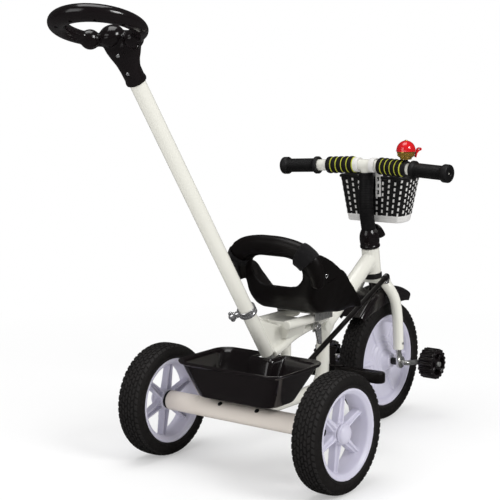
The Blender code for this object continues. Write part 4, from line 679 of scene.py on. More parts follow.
def rear_axle():
    """The cream axle tube with its end collars and two push-in plugs."""
    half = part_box("rear_axle_tube")[1].x / MM
    profile = [(18, half - 0.6), (17.4, half), (6.4, half), (6.4, half - 8), (16, half - 10)]
    tube = spun("axle_tube_painted", mirrored_profile(profile), X_AXIS, REAR_AXLE, 80)
    settle(tube, "rear_axle_tube")
    for word, side in SIDES:
        start, end = span_from_middle(f"wheel_collar_{word}")
        profile = [(17, start + 0.8), (17, end - 0.8), (16.2, end), (6.4, end), (6.4, start), (16.2, start)]
        settle(spun(f"wheel_collar_{word}_turned", profile, X_AXIS * side, REAR_AXLE), f"wheel_collar_{word}")
        seat = REAR_AXLE + X_AXIS * middle_of(f"tube_plug_{word}").x
        profile = [(0, 19.9), (2.4, 19.7), (4, 19.1), (4.5, 18.3), (3, 18.3), (3, 13.9), (0, 13.9)]
        settle(spun(f"tube_plug_{word}_round", profile, spoke(radians(52)), seat, 32), f"tube_plug_{word}")


# Cranks and pedals


def crank():
    """One bent rod through the hub with its two arms and pedal pins."""
    angle, reach, offset, bend = radians(8), 58, 65.3, 6.5
    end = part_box("crank_axle")[1].x / MM
    points = []
    for side in (-1, 1):
        out = spoke(angle) * side

        def knee_at(x, radius):
            return FRONT_AXLE + X_AXIS * (side * x * MM) + out * (radius * MM)

        half = [knee_at(end, reach)]
        for before, knee, after in (
            ((offset + bend, reach), (offset, reach), (offset, reach - bend)),
            ((offset, bend), (offset, 0), (offset - bend, 0)),
        ):
            start, turn, stop = knee_at(*before), knee_at(*knee), knee_at(*after)
            for step in range(7):
                t = step / 6
                half.append(start * (1 - t) ** 2 + turn * (2 * t * (1 - t)) + stop * t * t)
        points += half if side < 0 else half[::-1]
    settle(softened(piped("crank_axle_bent", points, 5, sides=5), 0.6), "crank_axle")


def pedal(side_word, side):
    """A round pedal: a toothed rim on four spokes and a hub."""
    name = f"pedal_{side_word}"
    start, end = span_from_middle(name)
    wide = end - start
    centre = Vector((0, middle_of(name).y, middle_of(name).z))
    outward = X_AXIS * side
    rim = [(27.6, start + 1), (27.6, end - 1), (24.5, end), (22.5, end), (22, end - 3), (22, start + 3)]
    rim += [(22.5, start), (24.5, start)]
    hub = [(10.5, start), (10.5, end - 3), (8, end - 1), (5.4, end - 1), (5.4, start)]
    pieces = [spun(f"{name}_moulded", rim, outward, centre, 72)]
    pieces.append(spun(f"{name}_hub", hub, outward, centre, 48))
    for label, count, shift, root, tip, inset, less in (
        ("spoke", 4, 0.5, (8, 4.2), (24, 3), 1.5, 5),
        ("tooth", 18, 0.25, (26, 3.3), (31, 2.5), 1.2, 2.4),
    ):
        for number in range(count):
            heading, word = spoke(2 * pi * (number + shift) / count), f"{name}_{label}_{number}"
            pieces.append(paddle(word, centre, outward, heading, root, tip, start + inset, wide - less))
    settle(fused(joined(f"{name}_moulded", *pieces), 0.9, 3), name, 60)


def axle_ends(word, side):
    """The plated bracket under a fork leg with its boss and rivet, and the sleeve beside the hub."""
    name = f"axle_bracket_{word}"
    settle(cast(name, f"{name}_pressed", 0.6, 4), name, 40)
    face = span_from_middle(name)[1]
    boss = [(6.2, -1), (12, -1), (12.4, 0), (12.4, 1.6), (11.8, 2.2), (6.2, 2.2)]
    boss = [(radius, face + along) for radius, along in boss]
    trim(spun(f"{name}_boss", boss, X_AXIS * side, FRONT_AXLE, 48), "steering", "zinc_steel")
    name = f"axle_spacer_{word}"
    start, end = span_from_middle(name)
    profile = [(7, start + 0.5), (7, end - 0.5), (6.5, end), (5.3, end), (5.3, start), (6.5, start)]
    settle(spun(f"{name}_turned", profile, X_AXIS * side, FRONT_AXLE, 40), name)
    leg = at(side * 59, -437, 163) - X_AXIS * (side * 0.3 * MM)
    head = [(0, 1.6), (1.6, 1.4), (2.6, 0.8), (2.9, 0), (2.9, -2), (0, -2)]
    trim(spun(f"fork_rivet_{word}", head, X_AXIS * side, leg, 24), "steering", "zinc_steel")


# Frame and mudguard

# Heights of the head's fittings where they meet the steering axis
CROWN, HEADSET, BOOT_FOOT, STEM_FOOT, BOOT_TOP, BAR_HEIGHT = 291, 305, 358, 372, 394, 522
FENDER_RADIUS, FENDER_HALF, FENDER_WALL, FENDER_CORNER, FENDER_SKIRT = 152, 28, 2.5, 9, 31


def painted_frame():
    """The welded frame in its gloss paint."""
    for name, voxel, ease in (("main_frame", 1.25, 10), ("rear_frame", 1.25, 10), ("fork", 1.2, 9)):
        settle(cast(name, f"{name}_welded", voxel, ease), name, 50)


def fender_ring(angle, fall):
    """A section of the mudguard at an angle round the axle, with its hem let down by a share of its skirt."""
    half, wall, corner = FENDER_HALF, FENDER_WALL, FENDER_CORNER
    rise = FENDER_RADIUS - corner
    hem = FENDER_RADIUS - wall - corner - (FENDER_SKIRT - wall - corner) * fall
    thirds = [hem + (rise - hem) * part / 3 for part in range(3)]
    over = [(half, radius) for radius in thirds] + arc(half - corner, rise, corner, 0, 90)
    under = arc(half - corner, rise, corner - wall, 90, 0)
    under += [(half - wall, radius) for radius in thirds[::-1]]
    section = over + [(-x, radius) for x, radius in over[::-1] + under[::-1]] + under
    way = Vector((0, sin(angle), cos(angle)))
    return [FRONT_AXLE + X_AXIS * (x * MM) + way * (radius * MM) for x, radius in section]


def fender():
    """The glossy mudguard on its round stay, with hems that rise towards both ends."""
    ahead, behind, count = -31, 46, 48
    rings = []
    for step in range(count + 1):
        share = step / count
        fall = min(1.0, (1 - share) * 16 / 5 + 0.05, (share * 16 + 2) / 5)
        rings.append(fender_ring(radians(ahead + (behind - ahead) * share), fall))
    made = softened(lofted("front_fender_moulded", rings), 0.7, 2, 50)
    crown = on_head(CROWN)
    foot = FENDER_RADIUS - 1.2 - (crown - FRONT_AXLE).length / MM
    stay = [(0, foot), (11.5, foot), (9.6, foot + 2), (9, foot + 4.5), (9, -4.8), (8.4, -4.3), (0, -4.3)]
    stay = spun("front_fender_stay", stay, STEER_AXIS, crown, 48)
    settle(joined("front_fender_moulded", made, stay), "front_fender", 40)


def head_fittings():
    """Headset ring, the boot over the steerer and the hooked shell in front of it."""
    start, end = 4.4, (HEADSET - CROWN) / STEER_AXIS.z - 0.35
    profile = [(18.3, start), (19, start + 0.7), (19, end - 0.7), (18.3, end), (12.8, end), (12.8, start)]
    settle(spun("headset_ring_turned", profile, STEER_AXIS, on_head(CROWN)), "headset_ring")
    height = (BOOT_TOP - BOOT_FOOT) / STEER_AXIS.z
    shape = ((0.985, 0), (1, 0.02), (1, 0.1), (0.985, 0.125), (0.95, 0.15), (0.955, 0.2), (0.98, 0.3))
    shape += ((0.99, 0.42), (0.985, 0.55), (0.965, 0.66), (0.93, 0.75), (0.88, 0.84), (0.82, 0.91))
    shape += ((0.77, 0.96), (0.74, 1))
    profile = [(20 * out, height * share) for out, share in shape] + [(12.8, height), (12.8, 0)]
    settle(spun("stem_boot_moulded", profile, STEER_AXIS, on_head(BOOT_FOOT), 80), "stem_boot", 45)
    settle(cast("stem_hood", "stem_hood_moulded", 0.8, 10), "stem_hood", 60)


# Handlebar

BAR_STRAIGHT = 24
BAR_SWEPT = 166


def bar_point(x):
    """The handlebar's axis, x millimetres from its middle: straight at first, then swept back and down."""
    share = max(0.0, (abs(x) - BAR_STRAIGHT) / BAR_SWEPT)
    return on_head(BAR_HEIGHT) + Vector((x, -9 + 10 * share, -8 * share)) * MM


def on_bar(name, profile, side, start, length):
    """A turned piece on one half of the handlebar: (radius, share of its length) points."""
    first, last = bar_point(side * start), bar_point(side * (start + length))
    profile = [(out, share * length) for out, share in profile]
    return spun(name, profile, (last - first).normalized(), first)


def stem_route(count=24):
    """The post from the steerer up to the bar, bowed towards the rider."""
    foot, top = on_head(STEM_FOOT) + STEER_AXIS * (0.3 * MM), bar_point(0)
    points = []
    for step in range(count + 1):
        share = step / count
        bow = 7 * MM * sin(pi * min(1, share * 1.1)) ** 2
        points.append(foot.lerp(top, share) + Vector((0, bow, 0)))
    return points


def handlebar():
    """The bar and its post in frame paint, and the ribbed rubber sleeve over the post."""
    bends = curve_through([bar_point(x) for x in (-190, -110, -34, -14, 14, 34, 110, 190)], 4)
    bar = piped("handlebar_welded", bends, 11.5, sides=8)
    post = piped("handlebar_post", stem_route(), 11, sides=8)
    settle(fused(joined("handlebar_welded", bar, post), 1.2, 8), "handlebar", 50)
    start, end = on_head(BOOT_TOP) + STEER_AXIS * (0.3 * MM), bar_point(0)
    low, high = start.z + 3 * MM, end.z - 12 * MM
    route = [point for point in curve_through(stem_route(8), 8) if low < point.z < high]

    def rib(point):
        return 1 + 0.014 * cos(2 * pi * (point.z - start.z) / (4.6 * MM))

    sleeve = piped("stem_sleeve_ribbed", curve_through([start] + route, 3), 14.3, rib, sides=10)
    hole = piped("sleeve_bore", [bar_point(-20), bar_point(20)], 11.7, sides=8)
    settle(cut_by(sleeve, hole), "stem_sleeve", 40)


def bar_foams():
    """A foam on each half of the bar, lobed between thin coloured rings."""
    count = bpy.context.scene.tricycle_sizes.foam_rings
    band = 2.3
    for word, side, start, length in (("left", 1, 24.3, 61.6), ("right", -1, 32.3, 55.6)):
        lobe = length / count
        ring_first = side > 0
        profile, bands = [(11.8, 0), (15, 0)], []
        for number in range(count):
            begin = number * lobe
            ring = begin if ring_first else begin + lobe - band
            swell = begin + band if ring_first else begin
            last = ring + band
            bands.append((ring, last))
            ring_points = [(15, ring + 0.05), (15.5, ring + 0.5), (15.5, last - 0.5), (15, last - 0.05)]
            parts = [n / 9 for n in range(1, 9)]
            bulge = [(15.2 + 1.8 * sin(pi * part) ** 0.6, swell + (lobe - band) * part) for part in parts]
            profile += ring_points + bulge if ring_first else bulge + ring_points
        profile += [(15, length), (11.8, length)]
        shares = [(out, along / length) for out, along in profile]
        made = on_bar(f"bar_foam_{word}_lobed", shares, side, start, length)
        origin = bar_point(side * start)
        along_bar = (bar_point(side * (start + length)) - origin).normalized()

        def in_ring(face):
            place = (face.center - origin).dot(along_bar) / MM
            flat = abs(face.normal.dot(along_bar)) > 0.9 and place < 0.5 and ring_first
            return int(flat or any(first - 0.02 <= place <= last + 0.02 for first, last in bands))

        finishes = ("bar_foam", "foam_rings")
        parted(made, finishes, in_ring)
        settle(made, f"bar_foam_{word}", 50, finishes=finishes)


def grips():
    """Rubber grips with ribbed barrels, a flange at each end and a dimpled cap."""
    count = 26
    step = 0.68 / count
    profile = [(0, 0.935), (11.8, 0.935), (11.8, 0), (16.8, 0), (17.5, 0.01), (17.5, 0.075), (16.6, 0.09)]
    profile += [(14.6, 0.105), (13.8, 0.12)]
    for number in range(count):
        share = 0.13 + 0.68 * number / count
        rib = ((13.3, 0), (13.8, 0.25), (13.8, 0.75), (13.3, 0.98))
        profile += [(out, share + step * part) for out, part in rib]
    profile += [(14.6, 0.825), (16.6, 0.84), (17.5, 0.86), (17.5, 0.955), (17, 0.98), (15.5, 0.997), (13, 1)]
    profile += [(6, 1), (4.5, 0.985), (2.4, 0.985), (2, 0.955), (0, 0.955)]
    for word, side in SIDES:
        settle(on_bar(f"grip_{word}_ribbed", profile, side, 108, 85), f"grip_{word}", 40)


def bell():
    """A clamp band, a gold cup, a red lacquered dome with a top nut, and the thumb lever."""
    seat = bar_point(-93.4)
    along = (bar_point(-103) - seat).normalized()
    band = [(15, -4), (15, 4), (14.3, 4.7), (11.8, 4.7), (11.8, -4.7), (14.3, -4.7)]
    clamp = spun("bell_clamp_band", band, along, seat, 56)
    stalk = spun("bell_clamp_stalk", [(0, 13), (5.5, 13), (4.3, 15), (4.3, 17.9), (0, 17.9)], UP, seat, 32)
    settle(joined("bell_clamp_band", clamp, stalk), "bell_clamp")
    base = seat + UP * (18.2 * MM)
    cup = [(0, 0), (10.4, 0), (11, 0.6), (11.4, 3.2), (15.2, 5.6), (16.6, 7.6), (16.9, 9), (16.2, 9.5)]
    cup += [(16.2, 10.3), (17, 10.8), (17.4, 13), (17.2, 15.8), (16.4, 16.2), (0, 16.2)]
    settle(spun("bell_base_cup", cup, UP, base, 24), "bell_base", 12)
    dome = [(0, 36.3)]
    for step in range(1, 13):
        angle = radians(90 - 90 * step / 12)
        dome.append((18.4 * cos(angle), 17.3 + 19 * sin(angle)))
    dome += [(19.2, 16.6), (19.5, 16), (19.3, 15.6), (18.4, 15.7), (17.6, 16.4)]
    dome += [(17.6 * cos(radians(a)), 17 + 17.2 * sin(radians(a))) for a in range(10, 81, 10)] + [(0, 34.2)]
    settle(spun("bell_dome_lacquered", dome, UP, base, 80), "bell_dome")
    nut = [(0, 37.6), (1.8, 37.4), (2.8, 36.8), (3.2, 35.9), (0, 35.7)]
    trim(spun("bell_top_nut", nut, UP, base, 32), "steering", "bell_gold")
    out = Vector((cos(radians(225)), sin(radians(225)), 0))
    side = out.cross(UP)

    def plate(name, wide, outline):
        """A plate in the lever's plane, of (distance out, height) points."""
        points = [base + out * (r * MM) + UP * (z * MM) - side * (wide / 2 * MM) for r, z in outline]
        return slab(name, points, side * (wide * MM))

    outline = [(17.6, 4), (19.8, 3.4), (21.4, 11), (25, 15.6), (29.3, 17.2), (30.4, 19.4), (29, 22.2)]
    outline += [(25.2, 22.6), (21.4, 20.6), (19.6, 16.6), (18.3, 10)]
    lever = plate("bell_lever_moulded", 8, outline)
    cut_by(lever, plate("bell_lever_eye", 10, [(23.4, 17.2), (27.8, 18.8), (27.2, 20.6), (23.6, 19.6)]))
    settle(softened(lever, 0.7, 3), "bell_lever", slot="bell_red")


# Basket

BASKET_FOOT = 407
BASKET_RISE = 93
STAKES = 32
STAKE_POINTS = (0.0, 0.15, 0.3, 0.53, 0.77)


def basket_ring(share, grow=0.0):
    """The basket seen from above at a share of its height: a straight back and a rounded front."""
    half = 62 + 15 * share + grow
    depth = 87 + 32 * share + 2 * grow
    back = -407.66 - 7 * (1 - share) + grow
    fine = []
    for step in range(241):
        angle = pi * step / 240
        across = abs(cos(angle)) ** 0.75 * (1 if cos(angle) > 0 else -1)
        fine.append(Vector((half * across, back - depth * sin(angle) ** 0.85)))
    path = [Vector((half - 6, back)), *fine[6:-6], Vector((6 - half, back)), Vector((0, back))]
    closed = path + [path[0]]
    lengths = [0.0]
    for first, second in zip(closed, closed[1:]):
        lengths.append(lengths[-1] + (second - first).length)
    ring, index = [], 0
    for stake in range(STAKES):
        for part in STAKE_POINTS:
            want = lengths[-1] * (stake + part) / STAKES
            while lengths[index + 1] < want:
                index += 1
            along = (want - lengths[index]) / max(1e-9, lengths[index + 1] - lengths[index])
            point = closed[index].lerp(closed[index + 1], along)
            ring.append(at(point.x, point.y, BASKET_FOOT + BASKET_RISE * share))
    return ring


def basket():
    """A woven basket: white stakes that dip behind black strands, a white foot and a rolled rim."""
    band, top, rows = 0.15, 0.93, 13
    step = (top - band) / rows
    levels = [(0.0, -3.4), (0.004, -2), (0.018, -0.6), (0.045, 0), (0.07, 0), (0.075, -0.5), (0.083, 0)]
    levels += [(band + (row + part) * step, 0) for row in range(rows) for part in (0, 0.15)]
    levels += [(top, 0), (0.97, 0)]
    shares = [share for share, _ in levels]
    made = lofted("basket_woven", [basket_ring(share, grow) for share, grow in levels], capped=False)
    applied(made, "SOLIDIFY", thickness=2.2 * MM, offset=-1)
    middles = {}
    for first, second in zip(shares, shares[1:]):
        ring = basket_ring((first + second) / 2)
        middles[first] = [(ring[n] + ring[(n + 1) % len(ring)]) / 2 for n in range(len(ring))]

    def kind(face):
        """Says whether a face is white, a strand between the stakes or neither."""
        share = (face.center.z / MM - BASKET_FOOT) / BASKET_RISE
        if share < band:
            return "white"
        if share > top or abs(face.normal.z) > 0.7:
            return "plain"
        row = (share - band) / step
        floor = max(level for level in shares[:-1] if level <= share + 1e-4)
        column = min(range(len(middles[floor])), key=lambda n: (middles[floor][n] - face.center).length)
        stake, part = divmod(column, len(STAKE_POINTS))
        if part > 1:
            return "strand" if row % 1 > 0.15 else "plain"
        return "white" if row % 1 < 0.15 or int(row) % 2 == stake % 2 else "plain"

    kinds = {tuple(face.center): kind(face) for face in made.data.polygons}
    finishes = ("basket_plastic", "basket_white")
    parted(made, finishes, lambda face: int(kinds[tuple(face.center)] == "white"))
    woven_from = (BASKET_FOOT + BASKET_RISE * band) * MM
    for wanted, single, depth in (("strand", True, 0.5), ("white", False, 0.9)):
        pick(made, lambda point, normal: kinds.get(tuple(point)) == wanted and point.z > woven_from)
        bpy.ops.mesh.inset(thickness=0.3 * MM, depth=depth * MM, use_individual=single)
        bpy.ops.object.mode_set(mode="OBJECT")
    floor = slab("basket_floor_plate", basket_ring(0.0, -3), UP * (3 * MM))
    parted(floor, finishes, lambda face: 1)
    rim = piped("basket_rim", basket_ring(0.965, 0.2), 3.0, closed=True, sides=4)
    parted(rim, finishes, lambda face: 0)
    settle(joined("basket_woven", made, floor, rim), "basket", 40, finishes=finishes)


def basket_hooks():
    """Light plastic ladder straps that loop over the bar and hold the basket's back."""
    middle = bar_point(0)
    behind = at(0, -407.35, 0).y
    for word in ("left", "right"):
        name = f"basket_hook_{word}"
        low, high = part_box(name)
        start, wide = low.x - 1.5 * MM, high.x - low.x + 3 * MM
        outline = [(behind, low.z), (behind, middle.z)]
        for radius, steps in ((14.8, range(16, -7, -1)), (11.8, range(-6, 17))):
            for step in steps:
                angle = pi * step / 16
                outline.append((middle.y + radius * MM * cos(angle), middle.z + radius * MM * sin(angle)))
        outline += [(behind + 3 * MM, middle.z - 19 * MM), (behind + 3 * MM, low.z)]
        points = [Vector((start, y, z)) for y, z in outline]
        made = slab(f"{name}_strap", points, X_AXIS * wide)
        cutters = []
        for number in range(3):
            height = low.z + (9 + 13 * number) * MM
            corners = [(-0.26, -4), (0.26, -4), (0.26, 4), (-0.26, 4)]
            ring = [Vector((start + wide * (0.5 + x), behind - 5 * MM, height + z * MM)) for x, z in corners]
            cutters.append(slab(f"{name}_window_{number}", ring, Vector((0, 14 * MM, 0))))
        settle(softened(cut_by(made, *cutters), 0.4), name, finishes=("basket_white",))


# Push bar

WHEEL_TILT = radians(17.4)
WHEEL_TURN = radians(9.7)
WHEEL_RADIUS = 62
NECK_TOP = -85.9893


def push_bar():
    """The long painted tube, its chromed clamp and the winged knob."""
    start, end, low = 96.3, 616, 98.3
    profile = [(13.2, start + 0.5), (13.2, end), (9.8, end), (9.8, start), (12.7, start)]
    settle(spun("push_tube_painted", profile, PUSH_AXIS, PUSH_FOOT, 72), "push_tube")
    out = Vector(JOINTS["knob_turn"]["axis"]).normalized()
    band = [(17, low + 0.8), (17, low + 13.2), (16.2, low + 14), (13.5, low + 14), (13.5, low), (16.2, low)]
    clamp = spun("push_clamp_band", band, PUSH_AXIS, PUSH_FOOT, 72)
    seat = on_push(low + 7)
    ear = [(0, 14.5), (6, 14.5), (6, 20.6), (5.4, 21.6), (0, 21.6)]
    ear = spun("push_clamp_ear", ear, out, seat, 40)
    groove = [(17.3, low + 5.4), (17.3, low + 8.6), (16.4, low + 8.6), (16.4, low + 5.4)]
    cut_by(clamp, spun("push_clamp_groove", groove, PUSH_AXIS, PUSH_FOOT, 72))
    settle(joined("push_clamp_band", clamp, ear), "push_clamp")
    across = out.cross(PUSH_AXIS)
    first = (middle_of("clamp_knob") - seat).dot(out) / MM - 5.5
    hub = [(0, 0), (6.6, 0), (6.8, 1.2), (5.6, 9), (4.4, 10.6), (0, 11)]
    hub = [(radius, first + along) for radius, along in hub]
    pieces = [spun("clamp_knob_winged", hub, out, seat, 40)]
    for side in (-1, 1):
        root = seat + out * ((first + 5) * MM) - across * (1.9 * MM)
        plate = round_plate(((side * 3, -0.6), (side * 6.6, 1.4)), (3.6, 4.2), root, PUSH_AXIS, out, 10)
        pieces.append(softened(slab(f"clamp_knob_wing_{side}", plate, across * (3.8 * MM)), 0.8))
    settle(joined("clamp_knob_winged", *pieces), "clamp_knob", 50, "chrome_steel")
    cap = [(0, first + 12.4), (2.4, first + 12.2), (3.4, first + 11.2), (3.4, first + 9), (0, first + 9)]
    trim(spun("clamp_knob_bolt", cap, out, seat, 32), "knob", "chrome_steel")


def wheel_point(degrees, rise=0.0, reach=0.0):
    """A point of the hand wheel's ring, moved along its normal and outwards from its middle."""
    angle = radians(degrees)
    level = spoke(WHEEL_TILT)
    radius = (WHEEL_RADIUS + reach) * MM
    middle = PUSH_FOOT + Vector((2, 414, 576)) * MM + X_AXIS.cross(level) * (rise * MM)
    point = middle + X_AXIS * (radius * cos(angle)) + level * (radius * sin(angle))
    return around(PUSH_FOOT, PUSH_AXIS, WHEEL_TURN) @ point


def wheel_way(way):
    """A direction given for the unturned push bar."""
    return Matrix.Rotation(WHEEL_TURN, 3, PUSH_AXIS) @ way


def ball(name, radius, centre, axis, flat=1.0):
    """A round knob, flattened along its axis."""
    profile = []
    for step in range(17):
        angle = -pi / 2 + pi * step / 16
        profile.append((max(0.0, radius * cos(angle)), radius * flat * sin(angle)))
    profile[0], profile[-1] = (0, -radius * flat), (0, radius * flat)
    return spun(name, profile, axis, centre, 48)


def hand_wheel():
    """The moulded hand wheel: an oval ring that ends in two balls beside the neck's round head."""
    normal = wheel_way(X_AXIS.cross(spoke(WHEEL_TILT)))
    middle = (wheel_point(0) + wheel_point(180)) / 2
    rear = wheel_point(90) - middle

    def slim(point):
        return 0.85 + 0.15 * (point - middle).dot(rear) / rear.length_squared

    thick, flat = 16.5, 13.5
    line = [wheel_point(3.75 * number) for number in range(96)]
    ring = piped("push_wheel_moulded", line, thick, slim, closed=True, sides=9)
    squash = Matrix.Translation(middle) @ Matrix.Scale(flat / thick, 4, normal) @ Matrix.Translation(-middle)
    ring.data.transform(squash)
    pieces = [ring]
    for word, degrees, rise in (("left", -41, -1), ("right", -114, -3)):
        pieces.append(ball(f"push_wheel_ball_{word}", 15.8, wheel_point(degrees, rise, -1), normal))
    pieces.append(ball("push_wheel_head", 20.5, wheel_point(-74, 5, -9), PUSH_AXIS, 0.78))
    across = wheel_way(X_AXIS)
    deep = PUSH_AXIS.cross(across)
    collar, top = on_push(618), wheel_point(NECK_TOP, 2, -2)
    sections = [(594, 16.6, 16.6), (595.5, 17.2, 17.2), (599, 17.2, 17.2), (601, 16, 16)]
    sections = [(on_push(along), half, deep_half) for along, half, deep_half in sections]
    shares = ((0, 16.5, 16.2), (0.25, 21, 16), (0.45, 27, 15.8), (0.65, 32, 15.4), (0.85, 34.5, 14.5))
    shares += ((1.04, 32, 12), (1.18, 27, 9))
    sections += [(collar.lerp(top, share), half, deep_half) for share, half, deep_half in shares]
    rings = []
    for centre, half, deep_half in sections:
        turns = [2 * pi * step / 48 for step in range(48)]
        wide, thick = across * (half * MM), deep * (deep_half * MM)
        rings.append([centre + wide * cos(a) + thick * sin(a) for a in turns])
    pieces.append(lofted("push_wheel_neck", rings))
    made = fused(joined("push_wheel_moulded", *pieces), 1.5, 6)
    cutters = []
    for number, degrees in enumerate((20, 52, 88, 122, 160, 196, 228, -57, -123)):
        seat = wheel_point(degrees, -13.5 if degrees > 0 else -17, 3)
        hole = [(0, -3.2), (2.9, -3.2), (2.9, 4), (0, 4)]
        cutters.append(spun(f"push_wheel_hole_{number}", hole, normal, seat, 20))
    bore = [(0, 80), (12.9, 80), (12.9, 617.5), (0, 617.5)]
    cutters.append(spun("push_wheel_bore", bore, PUSH_AXIS, PUSH_FOOT, 48))
    for number, (along, out) in enumerate(((618, -2), (651.5, 0), (666, -2))):
        face = on_push(along) + across * (out * MM) + deep * (15.9 * MM)
        seat = [(0, -2.2), (3.6, -2.2), (3.9, 3), (0, 3)]
        cutters.append(spun(f"push_wheel_seat_{number}", seat, deep, face, 28))
        if number < 2:
            head = [(0, -2.2), (2.9, -2.2), (2.9, -1), (2.2, -0.2), (0.9, 0), (0.9, -0.9), (0, -0.9)]
            trim(spun(f"push_wheel_screw_{number}", head, deep, face, 28), "push_bar", "chrome_steel")
    settle(cut_by(made, *cutters), "push_wheel", 60)


# Steering linkage and footrests


def linkage():
    """The long rod with its slotted eye, the cap over its front joint and the plate on the crown."""
    settle(cast("steering_rod", "steering_rod_painted", 0.8, 8), "steering_rod", 50)
    for name, word, ease, angle in (("rod_cap", "moulded", 6, 60), ("rod_link", "pressed", 3, 40)):
        made = cast(name, f"{name}_{word}", 0.5, ease)
        settle(applied(made, "DISPLACE", strength=-0.15 * MM, mid_level=0), name, angle)


def footrests():
    """Two pegs with round ends and grip grooves, and their bracket on the upright."""
    for word, side in SIDES:
        name = f"footrest_{word}"
        low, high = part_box(name)
        middle = Vector((0, (low.y + high.y) / 2, (low.z + high.z) / 2))
        rings = []
        for height, grow in ((-10, -2.2), (-9.2, -0.8), (-7.5, 0), (7.5, 0), (9.2, -0.8), (10, -2.2)):
            ends = ((side * 30, 0), (side * 117, 0))
            centre = middle + UP * (height * MM)
            rings.append(round_plate(ends, (9 + grow, 13 + grow), centre, X_AXIS, spoke(0), 12))
        peg = lofted(f"{name}_moulded", rings)
        hole = [(0, -14), (3.3, -14), (3.3, 14), (0, 14)]
        cutters = [spun(f"{name}_bore", hole, UP, middle + X_AXIS * (side * 30 * MM), 24)]
        for number in range(9):
            x = side * (56 + 7 * number)
            corners = ((x - 1.1, -8), (x + 1.1, -8), (x + 1.1, 8), (x - 1.1, 8))
            ring = [Vector((x * MM, middle.y + y * MM, high.z - 1.1 * MM)) for x, y in corners]
            cutters.append(slab(f"{name}_groove_{number}", ring, UP * (4 * MM)))
        settle(cut_by(peg, *cutters), name)
    settle(cast("footrest_bracket", "footrest_bracket_moulded", 0.9, 4), "footrest_bracket", 50)


# Seat


def seat():
    """The bucket seat's moulded shell with its hooped back, the clamp's lever and plate."""
    shell = cast("seat_shell", "seat_shell_moulded", 1.5, 22)
    front, back = at(0, -226, 279), at(0, -60, 405)
    run = (back - front).normalized()
    rise = Vector((0, -run.z, run.y))
    # The pan's middle swells and its nose droops. along runs from nose to back and under from the pan down.
    for vertex in shell.data.vertices:
        along = (vertex.co - front).dot(run) / (back - front).length
        under = -(vertex.co - front).dot(rise) / MM
        swell = 6.5 * max(0.0, 4 * along * (1 - along)) * max(0.0, 1 - max(0.0, under) / 55)
        droop = 9 * min(1.0, max(0.0, 0.3 - along) / 0.25) ** 2 * min(1.0, max(0.0, under - 4) / 22)
        vertex.co += rise * (swell * MM) - UP * (droop * MM)
    applied(shell, "SMOOTH", factor=0.5, iterations=14)
    normal = Vector((-0.935, 0.265, -0.235)).normalized()
    start, end = at(-87.8, -127.6, 332.9), at(-95.8, -147.6, 341.7)
    width = (end - start).cross(normal).normalized() * (0.7 * MM)
    corners = (start - width, end - width, end + width, start + width)
    outline = [corner - normal * (1.2 * MM) for corner in corners]
    cut_by(shell, slab("seat_shell_slot", outline, normal * (6 * MM)))
    ring = [(2.2, -1.5), (3.7, -1.5), (3.7, 0.4), (3.3, 0.8), (2.6, 0.8), (2.2, 0.4)]
    ring = spun("seat_rivet", ring, Vector((-0.91, 0.305, -0.282)).normalized(), at(-89.6, -121.8, 346.5), 32)
    trim(ring, "seat", "chrome_steel")
    settle(shell, "seat_shell", 60)
    settle(cast("seat_bracket", "seat_bracket_pressed", 0.9, 3), "seat_bracket", 40)
    settle(cast("seat_lever", "seat_lever_cast", 0.6, 6), "seat_lever", 50, "chrome_steel")


def harness():
    """The padded sleeve and the webbing loop with its buckle, on the seat's hoop."""
    pad = cast("harness_pad", "harness_pad_stuffed", 2.5, 3)
    stuffed(pad, 2.5)
    pad = applied(pad, "SUBSURF", levels=1, render_levels=1)
    settle(pad, "harness_pad", 60)
    settle(cast("harness_buckle", "harness_buckle_loop", 0.8, 3), "harness_buckle", 45)


def stuffed(obj, reach):
    """Swells a pad a little with cloth under pressure, and keeps each point within a reach in millimetres."""
    before = [vertex.co.copy() for vertex in obj.data.vertices]
    choose(obj)
    bpy.ops.object.modifier_add(type="CLOTH")
    cloth = obj.modifiers[-1]
    cloth.settings.use_pressure = True
    cloth.settings.uniform_pressure_force = 3
    cloth.settings.effector_weights.gravity = 0
    first, last = 1, 12
    cloth.point_cache.frame_start, cloth.point_cache.frame_end = first, last
    for number in range(first, last + 1):
        bpy.context.scene.frame_set(number)
    bpy.ops.object.modifier_apply(modifier=cloth.name)
    for vertex, start in zip(obj.data.vertices, before):
        move = vertex.co - start
        if move.length > reach * MM:
            vertex.co = start + move.normalized() * (reach * MM)
    bpy.context.scene.frame_set(first)


# Tray

TRAY_FOOT = 135
TRAY_RISE = 66


def tray_ring(height, grow):
    """The tray's outline at a height, grown outwards by some millimetres, with the notch in its front."""
    share = (height - TRAY_FOOT) / TRAY_RISE
    half = 86 + 28 * share + grow
    back = 43 + 18 * share + grow
    front = -40 - 41 * share - grow
    flare, inner, foot = max(1.5, 8 + grow), 8 - grow, 25 - grow
    notch = max(-22 - 21 * share - grow, front + flare + inner + 0.3)
    outer = 26 + grow
    corners = (
        (half - outer, back - outer, outer, 0, 90),
        (outer - half, back - outer, outer, 90, 180),
        (outer - half, front + outer, outer, 180, 270),
        (-foot - flare, front + flare, flare, 270, 360),
        (inner - foot, notch - inner, inner, 180, 90),
        (foot - inner, notch - inner, inner, 90, 0),
        (foot + flare, front + flare, flare, 180, 270),
        (half - outer, front + outer, outer, 270, 360),
    )
    points = []
    for x, y, radius, start, end in corners:
        for out, along in arc(x, y, radius, start, end):
            points.append(at(out, along, height))
    return points


